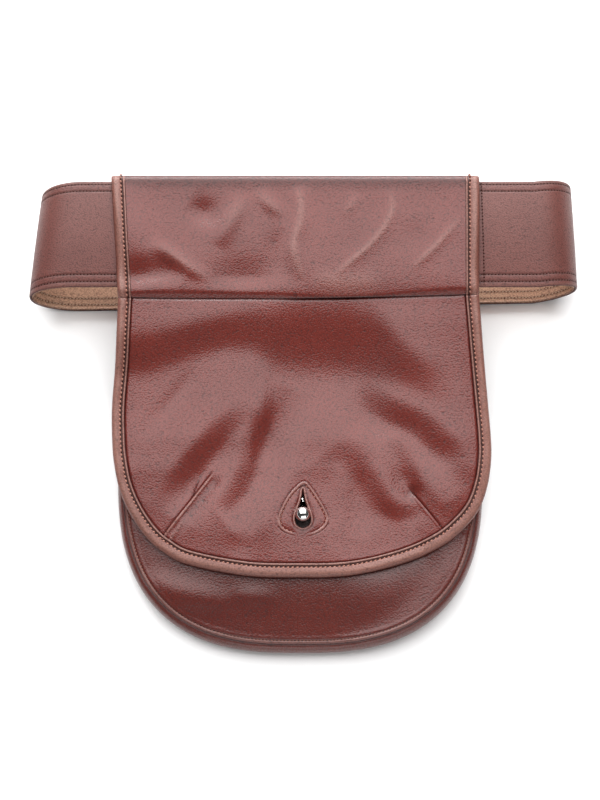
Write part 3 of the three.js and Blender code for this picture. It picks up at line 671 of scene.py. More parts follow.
flap = {
    "columns": 150, "rows": 108, "corner": 0.36, "inset": 1.8, "binding": 8.7,
    "cut": (0.252, 0.192), "cutArea": 0.0437,  # metres
    # finer mesh beside the binding, round the keyhole and along the tucks
    "rimBand": (5.5, 10), "holeNear": 12, "tuckNear": 4, "holeCut": 0.5,
    # groove pressed beside the binding, also painted shade as the binding's shadow: distance from it and
    # half width
    "pressedAndShaded": (0.6, 0.5),
    # left and right edge of the bound flap at each level, from the seam down
    "sections": [(74, -124, 117.5), (40, -125.4, 120), (5, -127.8, 122.6), (-18, -127.2, 124),
                 (-34, -125.6, 123.8), (-52.5, -121.4, 120.6), (-69, -114, 113.6), (-84, -103.6, 100),
                 (-94, -92.6, 84.6), (-103, -75.6, 62), (-110.6, -38, 29)],
    "tip": (-4, -111.8),
    # sewn tucks from the binding to the tip; lip, groove and second ridge with height and side
    "tucks": [{"line": ((-97, -91.5), (-60, -43)), "lip": (0.6, 0.75), "groove": (1.2, -0.4), "hollow": 1.1,
               "second": (0.7, 5.6), "branch": 5.5, "pit": 0},
              {"line": ((97, -88), (71.5, -55)), "lip": (0.3, -1.1), "groove": (1.5, 0), "hollow": 0,
               "second": (0, 4), "branch": 0, "pit": 1.2}],
    # keyhole from its apex by the left
    "hole": [(-0.4, -53.2), (-1.1, -57.5), (-2, -62), (-3.7, -66.6), (-5.1, -71), (-5.4, -74.6),
             (-4.1, -77.8), (-0.4, -79.4), (3.3, -77.8), (4.6, -74.6), (4.3, -71), (2.9, -66.6), (1.2, -62),
             (0.3, -57.5)],
    # stitched line round the keyhole, from its apex by the left
    "leaf": [(0.2, -50.2), (-4.6, -54), (-9.5, -60), (-12.9, -66.4), (-15.2, -72.5), (-15.2, -76.4),
             (-13.5, -79.6), (-9.7, -81.9), (-4.5, -83.3), (0.5, -83.5), (5, -82.9), (9.6, -80.8),
             (13.3, -77.6), (14.9, -73.2), (13.4, -68.6), (10.3, -63), (6.4, -56.8), (3.2, -52.6)],
    # beside that line: place and half width; the gap at its foot has no stitches: x, half width, y
    "leafRidge": (0.6, 0.42), "leafGroove": (-0.5, 0.45), "leafTrench": (1.7, 0.45), "leafRubAndHighlight": (0.6, 0.4),
    "leafGap": (-1.3, 6, -79),
    # fine rays round the keyhole: how many, and the y they meet at
    "rays": (38, -72),
}


def flapOutline():
    left = [(row[1], row[0]) for row in flap["sections"]]
    right = [(row[2], row[0]) for row in reversed(flap["sections"])]
    left[0] = (left[0][0], seamLine(left[0][0]) - bag["seamGap"])
    right[-1] = (right[-1][0], seamLine(right[-1][0]) - bag["seamGap"])
    return smoothLine(left + [flap["tip"]] + right)


flapLine = flapOutline()
flapEdge = insetLine(flapLine, flap["inset"])
leafLine = smoothLine(flap["leaf"], closed=True)
holeLine = smoothLine(flap["hole"], closed=True)


# height, painted shade, and rubbing with painted highlight of a tuck: a lip over a groove, with a hollow, a
# second ridge, a fork and a pit
def tuckDetail(tuck, x, y):
    (fromX, fromY), (toX, toY) = tuck["line"]
    spanX, spanY = toX - fromX, toY - fromY
    length = math.hypot(spanX, spanY)
    along = ((x - fromX) * spanX + (y - fromY) * spanY) / length ** 2
    side = (spanY * (x - fromX) - spanX * (y - fromY)) / length
    fade = ease(along, 1.05, 0.9) * ease(along, -0.2, 0.05)
    lip, lipSide = tuck["lip"]
    groove, grooveSide = tuck["groove"]
    ridge, ridgeSide = tuck["second"]
    line = fade * bell(side, grooveSide, 0.55)
    hollow = fade * tuck["hollow"] * ease(along, 0.15, 0.6) * bell(side, 5, 3.2)
    head = bell(np.hypot(x - toX, y - toY), 0, 4.2)
    second = fade * ease(along, 0.6, 0.3) * bell(side, ridgeSide * (1 - 0.45 * along), 0.8)
    fork = ease(along, 0.52, 0.64) * ease(along, 1.0, 0.88) * (tuck["branch"] > 0)
    fork = fork * bell(side, -tuck["branch"] * ease(along, 0.55, 1.0), 0.5)
    rise = fade * lip * bell(side, lipSide, 0.6) - groove * line - hollow + ridge * second
    rise -= tuck["pit"] * head + 0.7 * fork
    shade = line + 0.25 * hollow + 0.4 * (tuck["pit"] > 0) * head + 0.8 * fork
    rubAndHighlight = fade * bell(side, lipSide, 0.4) * (lip > 0.4) + 0.6 * (ridge > 0) * second
    return np.array([rise, shade, rubAndHighlight])


# the same for the whole flap, with the leaf, keyhole and seam, and painted shade in their grooves and round
# the hole
def flapDetail(x, y):
    rise, shade, rubAndHighlight = sum(tuckDetail(tuck, x, y) for tuck in flap["tucks"])
    leaf = insideLine(leafLine, x, y)
    gapX, gapHalf, gapY = flap["leafGap"]
    sewn = 1 - np.clip(1.4 * bell(x, gapX, gapHalf), 0, 1) * (y < gapY)
    parts = ("leafRidge", "leafGroove", "leafTrench", "leafRubAndHighlight")
    ridge, groove, trench, rubbedAndLit = (sewn * bell(leaf, *flap[part]) for part in parts)
    rise += 0.35 * ease(-leaf, 0.5, 4.5) + 0.4 * ridge - 0.5 * groove - 0.3 * trench
    shade += 0.4 * groove + 0.6 * trench
    rubAndHighlight += 0.9 * rubbedAndLit
    hole = insideLine(holeLine, x, y)
    rise -= 0.9 * ease(hole, 3.4, 0.8)
    shade += 0.35 * ease(hole, 3.6, 1.4)
    rays, rayY = flap["rays"]
    turn = np.arctan2(y - rayY, x)
    rise += 0.04 * np.sin(rays * turn + 2.5 * np.sin(3 * turn)) * ease(leaf, 0.5, 2.5) * ease(leaf, 11, 3)
    edge = seamLine(x) - y
    rise -= 0.2 * ease(edge, 1.2, 0)
    shade += 0.7 * ease(edge, 1.3, 0.2)
    return rise, shade, rubAndHighlight


def flapFull(x, y):
    return flapHeight(x, y) + flapDetail(x, y)[0]


def flapPlace(bm):
    return panelPlace(flapEdge, flap["corner"], lambda x: seamLine(x) - bag["seamGap"], *gridShares(bm)).T


def makeFlap():
    bm = sheetGrid(flap["columns"], flap["rows"])
    edge = flapEdge.points[::8]
    rim = awayFrom(edge, *flapPlace(bm))
    low, high = flap["rimBand"]
    denser(bm, (rim > low) & (rim < high), 2)
    x, y = flapPlace(bm)
    close = insideLine(holeLine, x, y) < flap["holeNear"]
    for tuck in flap["tucks"]:
        close |= awayFrom(tuck["line"], x, y) < flap["tuckNear"]
    denser(bm, close, 3)
    x, y = flapPlace(bm)
    rise, shade, rubAndHighlight = flapDetail(x, y)
    gap, half = flap["pressedAndShaded"]
    pressedAndShaded = bell(awayFrom(edge, x, y), flap["binding"] - flap["inset"] + gap, half)
    moveTo(bm, onSurface(flapHeight, x, y, rise - pressedAndShaded))
    # painted shade in the grooves, round the keyhole, at the seam and beside the binding; painted highlight
    # and rubbing on the lips and the leaf's ridge
    paintShadeRubAndHighlight(bm, shade + pressedAndShaded, rubAndHighlight)
    bm.verts.index_update()
    cut = insideLine(holeLine, x, y) < flap["holeCut"]
    faces = [face for face in bm.faces if all(cut[vert.index] for vert in face.verts)]
    bmesh.ops.delete(bm, geom=faces, context="FACES")
    panel = finished(bm, "flapPanel", bagLeather, ["flap"], wall=bag["flapWall"])


makeFlap()
print("flap made")

# bindings: a folded strip with a sewn groove; profile from its inner lip round the edge to the underside

binding = {
    "profile": [(9, 0.6), (9.1, 1.2), (8.85, 1.65), (8.4, 1.85), (7.95, 1.75), (7.6, 1.4), (7.4, 1),
                (7.05, 0.88), (6.7, 1), (6.4, 1.45), (6, 1.85), (5.4, 2.1), (4.8, 2.25), (4, 2.35),
                (3, 2.3), (2, 2.05), (1.1, 1.55), (0.45, 0.85), (0.08, 0.1), (0, -0.5), (0.2, -1.2),
                (0.8, -1.75), (1.8, -2), (5, -2), (8.6, -1.9)],
    "step": 1.4, "rows": 76, "wall": 0.8, "pitch": 3.0, "groove": 6.25, "threadRise": 1.62,
    "thread": (2.0, 1.3, 0.9), "lean": 0.55, "flapSamples": 500, "yokeSamples": 300,
}
profileLine = smoothLine(binding["profile"])


# painted shade in the sewn groove, past the inner lip and on the underside; painted highlight and rubbing on
# the crown and the inner lip
def bindingShadeAndHighlight(bm, inset, rise):
    upper = rise > 0
    shade = bell(inset, 7.05, 0.6) * upper + ease(inset, 8.85, 9.05) + 0.75 * ease(rise, 0.7, -0.4)
    paintShadeRubAndHighlight(bm, shade, 0.8 * bell(inset, 3.2, 1.6) * upper + bell(inset, 8.3, 0.5) * upper)


def finishBinding(bm, name, node):
    finished(bm, name, edgeLeather, [node], wall=binding["wall"], offset=-1)


def sewBinding(name, points, normals):
    row = stitchRow(points + normals * binding["threadRise"], normals, binding["pitch"], binding["lean"])
    sew(name, [row], binding["thread"], brownThread)


def makeFlapBinding():
    bm = sheetGrid(int(flapLine.length / binding["step"]), binding["rows"])
    u, v = gridShares(bm)
    inset, rise = profileLine(1 - v).T
    x, y = besideLine(flapLine, u, inset).T
    points = onSurface(flapHeight, x, y) + slopeNormal(flapHeight, x, y) * rise[:, None]
    wave = 0.12 * np.sin(u * 190) + 0.1 * np.sin(u * 73 + 1)
    points[:, 2] += wave * (rise > 0) * bell(inset, 4, 3)
    moveTo(bm, points)
    bindingShadeAndHighlight(bm, inset, rise)
    finishBinding(bm, "flapBinding", "flap_binding")
    x, y = besideLine(flapLine, np.linspace(0.003, 0.997, binding["flapSamples"]), binding["groove"]).T
    sewBinding("flapStitches", onSurface(flapHeight, x, y), slopeNormal(flapHeight, x, y))


makeFlapBinding()
print("flap binding sewn")

# keyhole rim and its stitched leaf

keyhole = {
    "profile": [(1.6, -0.3), (1.6, 0.5), (1.25, 1.1), (0.65, 1.2), (0.15, 0.75), (0, 0), (0.1, -0.8),
                (0.6, -1.3)],
    "columns": 160, "rows": 16,
    # shares of the leaf's line that are sewn
    "sewn": {"leafStitchesLeft": (0.01, 0.44), "leafStitchesRight": (0.62, 0.99)},
    "samples": 90, "stitchInset": 0.5, "threadRise": 0.9, "pitch": 2.8, "thread": (1.6, 0.8, 0.6),
}


def makeKeyhole():
    bm = sheetGrid(keyhole["columns"], keyhole["rows"])
    u, v = gridShares(bm)
    out, rise = smoothLine(keyhole["profile"])(v).T
    x, y = besideLine(holeLine, u, -out).T
    moveTo(bm, onSurface(flapFull, x, y, rise))
    # painted shade under the rim's edge, painted highlight on its top
    paintShadeRubAndHighlight(bm, ease(rise, 0.3, -0.3), ease(rise, 0.5, 1.05))
    closeUp(bm)
    finished(bm, "keyholeRim", bagLeather, ["keyhole_rim"])
    for name, ends in keyhole["sewn"].items():
        x, y = besideLine(leafLine, np.linspace(*ends, keyhole["samples"]), keyhole["stitchInset"]).T
        row = onSurface(flapFull, x, y, keyhole["threadRise"])
        row = stitchRow(row, slopeNormal(flapHeight, x, y), keyhole["pitch"])
        sew(name, [row], keyhole["thread"], brownThread)


makeKeyhole()
print("keyhole made")

# ball stud: base on the pocket front, neck leaning down to the ball

stud = {"baseY": -61.5, "ball": (-0.4, -71), "lift": 6.6, "radius": 4.9, "neck": 2.2, "base": 4.5,
        "baseWall": 1.0, "seatGap": 0.2, "dimple": 4.5, "sides": 40, "ballRows": 22}


# the stud pulls the pocket front in below the keyhole
def studDimple(x, y):
    return stud["dimple"] * ease(insideLine(holeLine, x, y), 9, 1)


def spun(bm, profile, foot, towards):
    verts = [bm.verts.new((radius * mm, 0, level * mm)) for radius, level in profile]
    edges = [bm.edges.new(pair) for pair in zip(verts, verts[1:])]
    bmesh.ops.spin(bm, geom=verts + edges, cent=(0, 0, 0), axis=(0, 0, 1), angle=2 * math.pi,
                   steps=stud["sides"], use_merge=True)
    turned = {vert for face in bm.faces if not face.tag for vert in face.verts}
    for face in bm.faces:
        face.tag = True
    turn = towards.to_track_quat("Z", "Y").to_matrix().to_4x4()
    bmesh.ops.transform(bm, matrix=Matrix.Translation(foot * mm) @ turn, verts=list(turned))


def makeStud():
    ballX, ballY = stud["ball"]
    spot = np.array([ballX]), np.array([stud["baseY"]])
    normal = Vector(slopeNormal(frontHeight, *spot)[0])
    seat = Vector((ballX, stud["baseY"] - originY, (frontHeight(*spot) - studDimple(*spot))[0]))
    seat += normal * stud["seatGap"]
    ballZ = frontHeight(np.array([ballX]), np.array([ballY]))[0] + stud["lift"]
    reach = Vector((ballX, ballY - originY, ballZ)) - seat
    bm = bmesh.new()
    wall, base = stud["baseWall"], stud["base"]
    disc = [(0, 0), (base - 0.2, 0), (base, 0.3), (base - 0.3, wall * 0.8), (base - 1.2, wall), (0, wall)]
    spun(bm, disc, seat, normal)
    neck, ball, length = stud["neck"], stud["radius"], reach.length
    collar = length - ball - 0.6
    profile = [(0, wall), (neck + 1.3, wall), (neck + 0.5, wall + 0.5), (neck, wall + 1.2),
               (neck, collar - 0.5), (neck + 0.4, collar), (neck + 0.4, collar + 0.6),
               (neck - 0.3, collar + 0.9)]
    low = math.asin((neck - 0.3) / ball)
    for angle in np.linspace(low, math.pi, stud["ballRows"]):
        profile.append((ball * math.sin(angle), length - ball * math.cos(angle)))
    profile[-1] = (0, length + ball)
    spun(bm, profile, seat, reach)
    closeUp(bm)
    finished(bm, "ballStud", steel, ["ball_stud"])


makeStud()
print("stud made")

# pocket: front, gusset and back

pocket = {
    "mouthY": 38, "corner": 0.34, "columns": 150, "rows": 110, "backGrid": (80, 70), "edgeNear": 8,
    "edgeOut": 1.0, "edgeGap": 0.4, "bulge": 5.1, "lipDrop": 0.7, "gussetStep": 2.0, "gussetRows": 22,
    # stitches along the lip, over a share of the edge
    "sewn": (0.16, 0.84), "samples": 400, "stitchInset": 2.0, "threadRise": 0.42, "pitch": 2.3,
    "thread": (1.9, 0.8, 0.6),
    # soft folds of the lip below the flap
    "folds": [
        [(-104, -106, 0, 7), (-92, -116, 1.6, 8), (-74, -122, 2, 9), (-56, -125, 1.2, 8), (-44, -126, 0, 7)],
        [(-50, -120, 0, 6), (-34, -123, 1.1, 6), (-14, -123, 0, 6)],
        [(107, -84, 0, 9), (99, -106, 2.6, 10), (86, -127, 3.2, 11), (69, -142, 3.2, 11), (45, -151, 1.8, 8),
         (18, -153, 0, 5)],
    ],
}
lipFolds = foldLines(pocket["folds"])


def lipHeight(x, y):
    return frontHeight(x, y) + foldHeight(lipFolds, x, y) - bag["pocketWall"] / 2


def pocketOutline():
    axis, half, square = bag["axis"], bag["halfWidth"], bag["square"]
    points = [(axis - half, y) for y in np.linspace(pocket["mouthY"], bag["middleY"], 7)[:-1]]
    for angle in np.linspace(0, math.pi, 41):
        across = math.copysign(abs(math.cos(angle)) ** (2 / square), math.cos(angle))
        down = abs(math.sin(angle)) ** (2 / square)
        points.append((axis - half * across, bag["middleY"] - bag["reach"] * down))
    points += [(axis + half, y) for y in np.linspace(bag["middleY"], pocket["mouthY"], 7)[1:]]
    return smoothLine(points)


pocketEdge = insetLine(pocketOutline(), -pocket["edgeOut"])


def pocketPlace(bm):
    def mouth(x):
        return np.full(len(x), float(pocket["mouthY"]))

    return panelPlace(pocketEdge, pocket["corner"], mouth, *gridShares(bm)).T


def makePocketFront():
    bm = sheetGrid(pocket["columns"], pocket["rows"])
    edge = pocketEdge.points[::10]
    x, y = pocketPlace(bm)
    denser(bm, (awayFrom(edge, x, y) < pocket["edgeNear"]) & (y < 0), 2)
    x, y = pocketPlace(bm)
    inset = awayFrom(edge, x, y)
    lip = y < 30
    sewn = pocket["stitchInset"]
    rise = (-0.5 * ease(inset, 0.6, 0) + 0.35 * bell(inset, 0.9, 0.45) - 0.7 * bell(inset, sewn, 0.5)
            + 0.25 * bell(inset, 3.6, 1.2)) * lip
    moveTo(bm, onSurface(lipHeight, x, y, rise - studDimple(x, y)))
    # painted shade in the sewn groove, at the very edge and in the recess under the keyhole; painted
    # highlight and rubbing on the edge's ridge
    shade = (0.95 * bell(inset, sewn, 0.6) + 0.9 * ease(inset, 0.5, 0.05)) * lip
    paintShadeRubAndHighlight(bm, shade + ease(insideLine(holeLine, x, y), 8, 4), 0.6 * bell(inset, 0.9, 0.4) * lip)
    finished(bm, "pocketFront", shadedPocketLeather, ["pocket_front"], wall=bag["pocketWall"])
    x, y = besideLine(pocketEdge, np.linspace(*pocket["sewn"], pocket["samples"]), sewn).T
    row = onSurface(lipHeight, x, y, pocket["threadRise"])
    row = stitchRow(row, slopeNormal(lipHeight, x, y), pocket["pitch"])
    sew("pocketStitches", [row], pocket["thread"], brownThread)


def makeGusset():
    bm = sheetGrid(int(pocketEdge.length / pocket["gussetStep"]), pocket["gussetRows"])
    u, v = gridShares(bm)
    x, y = pocketEdge(u).T
    turn = math.pi * (1 - v)
    upper = lipHeight(x, y) - pocket["lipDrop"]
    lower = backHeight(y) + bag["pocketWall"] / 2
    out = pocket["edgeGap"] + (pocket["bulge"] - pocket["edgeGap"] - bag["pocketWall"] / 2) * np.sin(turn)
    pucker = 0.25 * np.sin(u * 160) * np.sin(u * 41 + 2) * np.sin(turn)
    z = blend(lower, upper, (1 + np.cos(turn)) / 2) + pucker
    moveTo(bm, np.column_stack([besideLine(pocketEdge, u, -out), z]))
    # painted shade where the gusset meets the lip and near the floor; painted highlight and rubbing on its
    # bulge
    paintShadeRubAndHighlight(bm, 0.6 * ease(v, 0.9, 1) + 0.3 * ease(v, 0.3, 0), 0.2 * bell(v, 0.72, 0.2))
    finished(bm, "gussetStrip", shadedPocketLeather, ["gusset"], wall=bag["pocketWall"])


def makePocketBack():
    bm = sheetGrid(*pocket["backGrid"])
    x, y = pocketPlace(bm)
    y = y + ease(y, bag["middleY"], pocket["mouthY"]) * (seamLine(x) - bag["seamGap"] - pocket["mouthY"])
    moveTo(bm, np.column_stack([x, y, backHeight(y) + bag["pocketWall"] / 2]))
    finished(bm, "pocketBack", shadedPocketLeather, ["pocket_back"], wall=bag["pocketWall"])


makePocketFront()
makeGusset()
makePocketBack()
print("pocket made")

# yoke folded over the belt, with its side bindings

yoke = {
    "columns": 170, "front": 80, "turn": 16, "back": 24, "wall": 1.4, "depth": 9.6, "foldY": 154.4,
    "sides": (-124, -130.2, 117.5, 119), "inset": 1.8, "cut": (0.242, 0.178),
    # fullness of the front from the seam to the fold: share of its height, rise
    "swell": [(0, 4), (0.06, 4.1), (0.12, 3.9), (0.2, 3.3), (0.32, 2.1), (0.5, 0.5), (0.75, -0.8),
              (0.9, -0.7), (1, 0)],
    # the edge rolls down to the seam, shorter where the yoke is full: depth and reach of each
    "seamRoll": ((1.6, 7), (0.4, 1.2)),
    # fuller over the right of the seam: rise, middle, reach, share of the height
    "full": (0.2, 30, 44, 0.6),
    # thin crests on the ridges, rubbed pale and painted as highlights: strength and half width
    "crestRise": 0.35,
    "crests": [
        [(-5, 150, 0, 2.2), (-2, 142, 0.9, 2.2), (-2, 127, 1, 2.4), (-6, 113, 1, 2.2),
         (-6, 103, 1, 2.4), (-2, 90, 0.5, 2.4), (3, 82, 0, 2.4)],
        [(58, 149, 0, 2), (60, 136, 0.8, 2), (55, 123, 1, 2), (45, 110, 1, 2), (32, 98, 1, 2),
         (20, 88, 0, 2)],
        [(107, 131, 0, 2), (96, 117, 0.8, 2), (83, 103, 0.9, 2), (70, 91, 0, 2)],
        [(37, 146, 0, 3), (32, 137, 0.4, 3), (27, 128, 0, 3)],
        [(-40, 145, 0, 4), (-46, 131, 0.5, 4), (-54, 116, 0, 4)],
        [(-32, 148, 0, 3), (-23, 138, 0.6, 3), (-14, 128, 0, 3)],
        [(-103, 112, 0, 3), (-85, 100, 0.6, 3), (-70, 89, 0.4, 3), (-62, 83, 0, 3)],
        [(4, 86, 0, 7), (18, 84, 0.8, 7), (40, 83, 0.7, 7), (56, 84, 0, 7)],
    ],
    "folds": [
        # ridges from the top fold
        [(-6, 151, 0, 6), (-2, 143, 0.9, 6), (-2, 127, 1, 6), (-6, 113, 1, 6), (-6, 103, 1, 6),
         (-2, 84, 0, 6)],
        [(58, 150, 0, 6), (60, 136, 0.6, 6), (55, 123, 0.6, 6), (45, 110, 0.6, 6), (32, 98, 0.5, 6),
         (20, 88, 0, 6)],
        [(107, 131, 0, 5), (96, 117, 0.5, 5), (83, 103, 0.5, 5), (71, 92, 0, 5)],
        [(37, 146, 0, 5), (32, 137, 0.6, 5), (27, 128, 0, 5)],
        [(-39, 146, 0, 6), (-46, 131, 1.6, 6), (-53, 117, 1.4, 6), (-58, 108, 0, 6)],
        [(-32, 148, 0, 5), (-23, 138, 1.4, 5), (-14, 128, 0, 5)],
        [(-103, 112, 0, 5), (-93, 106, 1.3, 5), (-85, 100, 1.6, 5), (-74, 92, 1.3, 5), (-62, 83, 0, 5)],
        # full left edge
        [(-130, 118, 3, 24), (-116, 118, 2.6, 24), (-102, 119, 0, 18)],
        # hollows between the ridges
        [(-126, 76, -2, 24), (-114, 79, -1.6, 20), (-100, 82, 0, 16)],
        [(-120, 87, -1.6, 9), (-106, 90, -2.8, 10), (-92, 90, -2.2, 9), (-80, 84, 0, 8)],
        [(-66, 84, -0.8, 14), (-40, 85, -2.8, 16), (-16, 85, -1, 14)],
        [(-79, 138, 0, 9), (-67, 132, -2.6, 9), (-55, 126, 0, 9)],
        [(-13, 122, 0, 7), (-18, 109, -1.2, 8), (-18, 96, -1.2, 8), (-14, 84, 0, 7)],
        [(70, 128, 0, 9), (74, 116, -0.6, 9), (66, 100, 0, 9)],
    ],
}
yokeFolds = foldLines(yoke["folds"])
yokeCrests = foldLines(yoke["crests"])
yokeSwell = smoothLine(yoke["swell"]).points
yokeRows = yoke["front"] + yoke["turn"] + yoke["back"]


def yokeSide(u, y):
    leftLow, leftTop, rightLow, rightTop = yoke["sides"]
    up = (y - bag["seam"][0]) / (bag["topY"] - bag["seam"][0])
    left, right = blend(leftLow, leftTop, up), blend(rightLow, rightTop, up)
    return blend(left + yoke["inset"], right - yoke["inset"], u)


def yokeOffset(u, x, y):
    up = np.clip((y - bag["seam"][0]) / (yoke["foldY"] - bag["seam"][0]), 0, 1)
    side = np.abs(2 * u - 1) ** 24
    hold = (1 - side) * ease(up, 0.03, 0.2) * (1 - ease(up, 0.9, 1))
    rise, fullX, fullReach, share = yoke["full"]
    (fall, reach), (fullFall, shortReach) = yoke["seamRoll"]
    fuller = bell(x, fullX, fullReach)
    above = (y - seamLine(x)) / blend(reach, shortReach, fuller)
    roll = blend(fall, fullFall, fuller) * ease(above, 1, 0) ** 2
    full = rise * fuller * np.clip(1 - up / share, 0, 1) ** 1.3
    folds = foldHeight(yokeFolds, x, y) + yoke["crestRise"] * foldHeight(yokeCrests, x, y)
    swell = np.interp(up, *yokeSwell.T) * (1 - side * ease(up, 0, 0.35))
    return yoke["depth"] - yoke["wall"] / 2 + swell + hold * folds + full - roll


# row 0 is the front seam; the rows run up the front, over the fold and down the back
def yokePoint(u, row):
    front, turnRows, back = yoke["front"], yoke["turn"], yoke["back"]
    frontOffset, backOffset = yoke["depth"] - yoke["wall"] / 2, yoke["wall"] / 2
    turn = np.clip((row - front) / turnRows, 0, 1) * math.pi
    y = yoke["foldY"] + (bag["topY"] - yoke["wall"] / 2 - yoke["foldY"]) * np.sin(turn)
    offset = backOffset + (frontOffset - backOffset) / 2 * (1 + np.cos(turn))
    lowest = seamLine(yokeSide(u, y)) + bag["seamGap"]
    onFront, onBack = row < front, row > front + turnRows
    y = np.where(onFront, blend(lowest, yoke["foldY"], np.minimum(row / front, 1)), y)
    y = np.where(onBack, blend(yoke["foldY"], lowest, np.maximum(row - front - turnRows, 0) / back), y)
    x = yokeSide(u, y)
    offset = np.where(onFront, yokeOffset(u, x, y), offset)
    return np.column_stack([x, y, backHeight(y) + offset])


def makeYoke():
    bm = sheetGrid(yoke["columns"], yokeRows)
    u, v = gridShares(bm)
    row = v * yokeRows
    points = yokePoint(u, row)
    moveTo(bm, points)
    x, y = points[:, :2].T
    above = y - seamLine(x)
    front = row <= yoke["front"]
    # painted shade along the seam and over the top fold; painted highlight and rubbing on the crests
    shade = (0.75 * ease(above, 1.4, 0.1) + 0.05 * ease(above, 7, 1)) * front
    shade += 0.45 * bell(row, yoke["front"] + 1, 6)
    paintShadeRubAndHighlight(bm, shade, 0.6 * np.clip(foldHeight(yokeCrests, x, y), 0, 1) * front)
    panel = finished(bm, "yokePanel", bagLeather, ["yoke"], wall=yoke["wall"])


def makeYokeBinding(name, node, onLeft):
    width = yoke["sides"][2] - yoke["sides"][0] - 2 * yoke["inset"]
    bm = sheetGrid(yokeRows, binding["rows"])
    u, v = gridShares(bm)
    run = u * yokeRows
    inset, rise = profileLine(v if onLeft else 1 - v).T

    def frameAt(run, inset):
        held = (inset - yoke["inset"]) / width
        held = held if onLeft else 1 - held
        along = yokePoint(held, np.minimum(run + 0.5, yokeRows)) - yokePoint(held, np.maximum(run - 0.5, 0))
        return yokePoint(held, run), unit(np.cross((1, 0, 0), along))

    here, normal = frameAt(run, inset)
    flat = 1 - 0.75 * bell(run, yoke["front"] + yoke["turn"] / 2, yoke["turn"] / 2)
    moveTo(bm, here + normal * (rise * np.where(rise > 0, flat, 1))[:, None])
    bindingShadeAndHighlight(bm, inset, rise)
    finishBinding(bm, name, node)
    run = np.linspace(0.5, yokeRows - 0.5, binding["yokeSamples"])
    sewBinding(name + "Stitches", *frameAt(run, np.full(len(run), binding["groove"])))


makeYoke()
makeYokeBinding("yokeBindingLeft", "yoke_binding_left", True)
makeYokeBinding("yokeBindingRight", "yoke_binding_right", False)
print("yoke made")

# belt: outer strap and tan lining in one loop with lapped ends

belt = {
    "outerWall": 1.6, "liningWall": 0.9, "gap": 0.3, "lapLift": 5.0,
    "front": (83.5, 154.8, 4.9), "backWidth": 71.6, "backLower": (79, 84.5), "bendRise": (0, 4),
    "reachLeft": (187.1, 180.6), "reachRight": (187.1, 185), "bend": (31, 27),
    "lapHalf": 35, "ramp": (80, 42), "grid": (400, 60),
    # stitched rows by their distance from the lower and the upper edge, and one seam across the strap
    "rows": {"lower": (3.3, 8.0), "upper": (2.0, 6.7)}, "crossSeam": 121, "samples": 500,
    "pitch": 2.3, "lean": 0.25, "threadRise": 0.12, "thread": (1.8, 0.6, 0.5),
}
beltWall = belt["outerWall"] + belt["gap"] + belt["liningWall"]


def beltSide(side, across):
    lower, upper = belt["reachLeft"] if side < 0 else belt["reachRight"]
    return side * (blend(lower, upper, across) - beltWall / 2 - belt["bend"][0 if side < 0 else 1])


def runShare(x):
    return (x - beltSide(-1, 0.5)) / (beltSide(1, 0.5) - beltSide(-1, 0.5))


# columns: place along the runs, side, turn round the bend, lift of the lapped end
def beltRoute():
    half = belt["lapHalf"]
    stations = [(a, -1, 1, 0) for a in np.linspace(runShare(half), 0, 30)[:-1]]
    stations += [(0, -1, t, 0) for t in np.linspace(1, 0, 60)[:-1]]
    stations += [(a, 2 * a - 1, 0, 0) for a in np.linspace(0, 1, 40)[:-1]]
    stations += [(1, 1, t, 0) for t in np.linspace(0, 1, 60)]
    for x in np.linspace(belt["ramp"][0], belt["ramp"][1], 20):
        stations.append((runShare(x), 1, 1, belt["lapLift"] * ease(x, *belt["ramp"])))
    stations += [(runShare(x), 1, 1, belt["lapLift"]) for x in np.linspace(0, -half, 8)]
    return np.array(stations)


beltTable = beltRoute()


def beltPlace(station, across):
    along, side, turn, lift = station.T
    bend = np.where(side < 0, belt["bend"][0], belt["bend"][1])
    x = blend(beltSide(-1, across), beltSide(1, across), along) + side * bend * np.sin(math.pi * turn)
    frontY = blend(belt["front"][0], belt["front"][1], across)
    backY = blend(belt["backLower"][0], belt["backLower"][1], along) + belt["backWidth"] * across
    fall = (1 - np.cos(math.pi * turn)) / 2
    frontZ = backHeight(frontY) + belt["front"][2]
    y = blend(frontY, backY, fall) + np.where(side < 0, *belt["bendRise"]) * np.sin(math.pi * turn)
    return np.column_stack([x, y, blend(frontZ, beltWall / 2 + lift, fall)])


middleRun = beltPlace(beltTable, np.full(len(beltTable), 0.5))
beltRun = runAlong(middleRun)


def beltAt(share, across, shift):
    def middle(share, across):
        place = np.clip(share, 0, 1) * beltRun[-1]
        station = np.column_stack([np.interp(place, beltRun, column) for column in beltTable.T])
        return beltPlace(station, across)

    step = 0.002
    along = middle(share + step, across) - middle(share - step, across)
    over = middle(share, across + 0.01) - middle(share, across - 0.01)
    normal = unit(np.cross(along, over))
    return middle(share, across) + normal * shift[:, None], normal


# rows crowd towards the sewn edges of the strap
def strapRows(v):
    return np.interp(v, [0, 0.3, 0.7, 1], [0, 0.14, 0.86, 1])


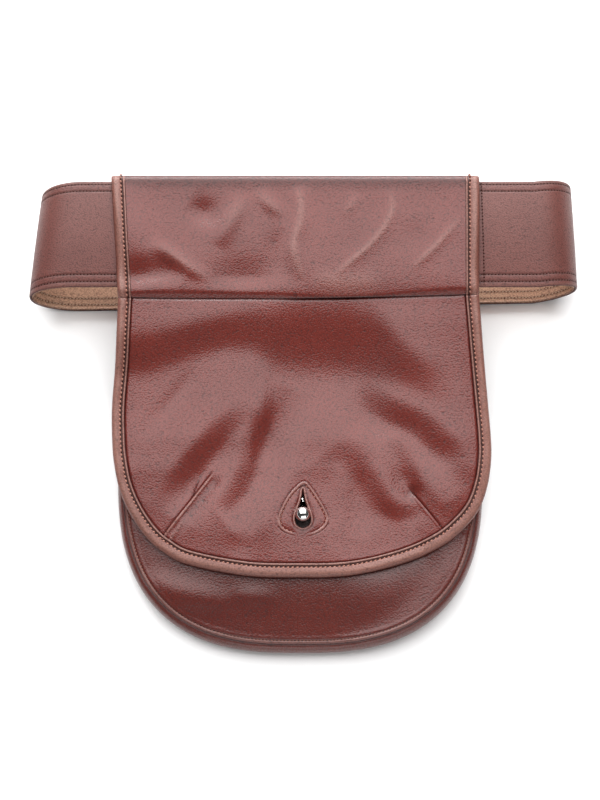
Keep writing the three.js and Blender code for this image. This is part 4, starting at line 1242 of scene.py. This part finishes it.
def strapStitches():
    lower = [inset / belt["backWidth"] for inset in belt["rows"]["lower"]]
    return lower + [1 - inset / belt["backWidth"] for inset in belt["rows"]["upper"]]


# shift is the strap's place in the belt's thickness, sink the depth of its sewn rows
def makeStrap(name, node, finish, wall, shift, sink, threads, crossed=False):
    bm = sheetGrid(*belt["grid"])
    u, v = gridShares(bm)
    across = strapRows(v)
    inset = np.minimum(across, 1 - across) * belt["backWidth"]
    groove = sum(bell(across * belt["backWidth"], row * belt["backWidth"], 0.7) for row in strapStitches())
    moveTo(bm, beltAt(u, across, shift - sink * groove - 0.5 * ease(inset, 0.9, 0))[0])
    # painted shade in the stitch grooves, darker at the very edges; paler on the rounded edge as rubbing and
    # painted highlight
    paintShadeRubAndHighlight(bm, 0.6 * groove + 0.5 * ease(inset, 0.6, 0), 0.5 * bell(inset, 1.1, 0.5))
    finished(bm, name, finish, [node], wall=wall)
    count = belt["samples"]
    side = 1 if shift > 0 else -1
    height = np.full(count, shift + side * (wall / 2 - sink + belt["threadRise"]))
    share = np.linspace(0.004, 0.996, count)
    lines = [beltAt(share, np.full(count, row), height) for row in strapStitches()]
    if crossed:
        front = beltTable[:, 2] == 0
        share = np.interp(belt["crossSeam"], middleRun[front, 0], beltRun[front] / beltRun[-1])
        lines.append(beltAt(np.full(count, share), np.linspace(0.02, 0.98, count), height + sink))
    rows = [stitchRow(line, normal * side, belt["pitch"], belt["lean"]) for line, normal in lines]
    sew(name + "Stitches", rows, belt["thread"], threads)


makeStrap("beltOuter", "belt_outer", beltLeather, belt["outerWall"],
          (beltWall - belt["outerWall"]) / 2, 0.35, darkThread, crossed=True)
makeStrap("beltLining", "belt_lining", litTanLeather, belt["liningWall"],
          (belt["liningWall"] - beltWall) / 2, 0.1, creamThread)
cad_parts["belt_clasp"].data.materials.clear()
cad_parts["belt_clasp"].data.materials.append(padFinish())
print("belt made")

# floor


def makeFloor():
    bm = bmesh.new()
    bmesh.ops.create_grid(bm, x_segments=2, y_segments=2, size=studio["floor"])
    bmesh.ops.translate(bm, verts=bm.verts, vec=(0, 0, studio["floorZ"]))
    asObject(bm, "floor", floorFinish())


makeFloor()
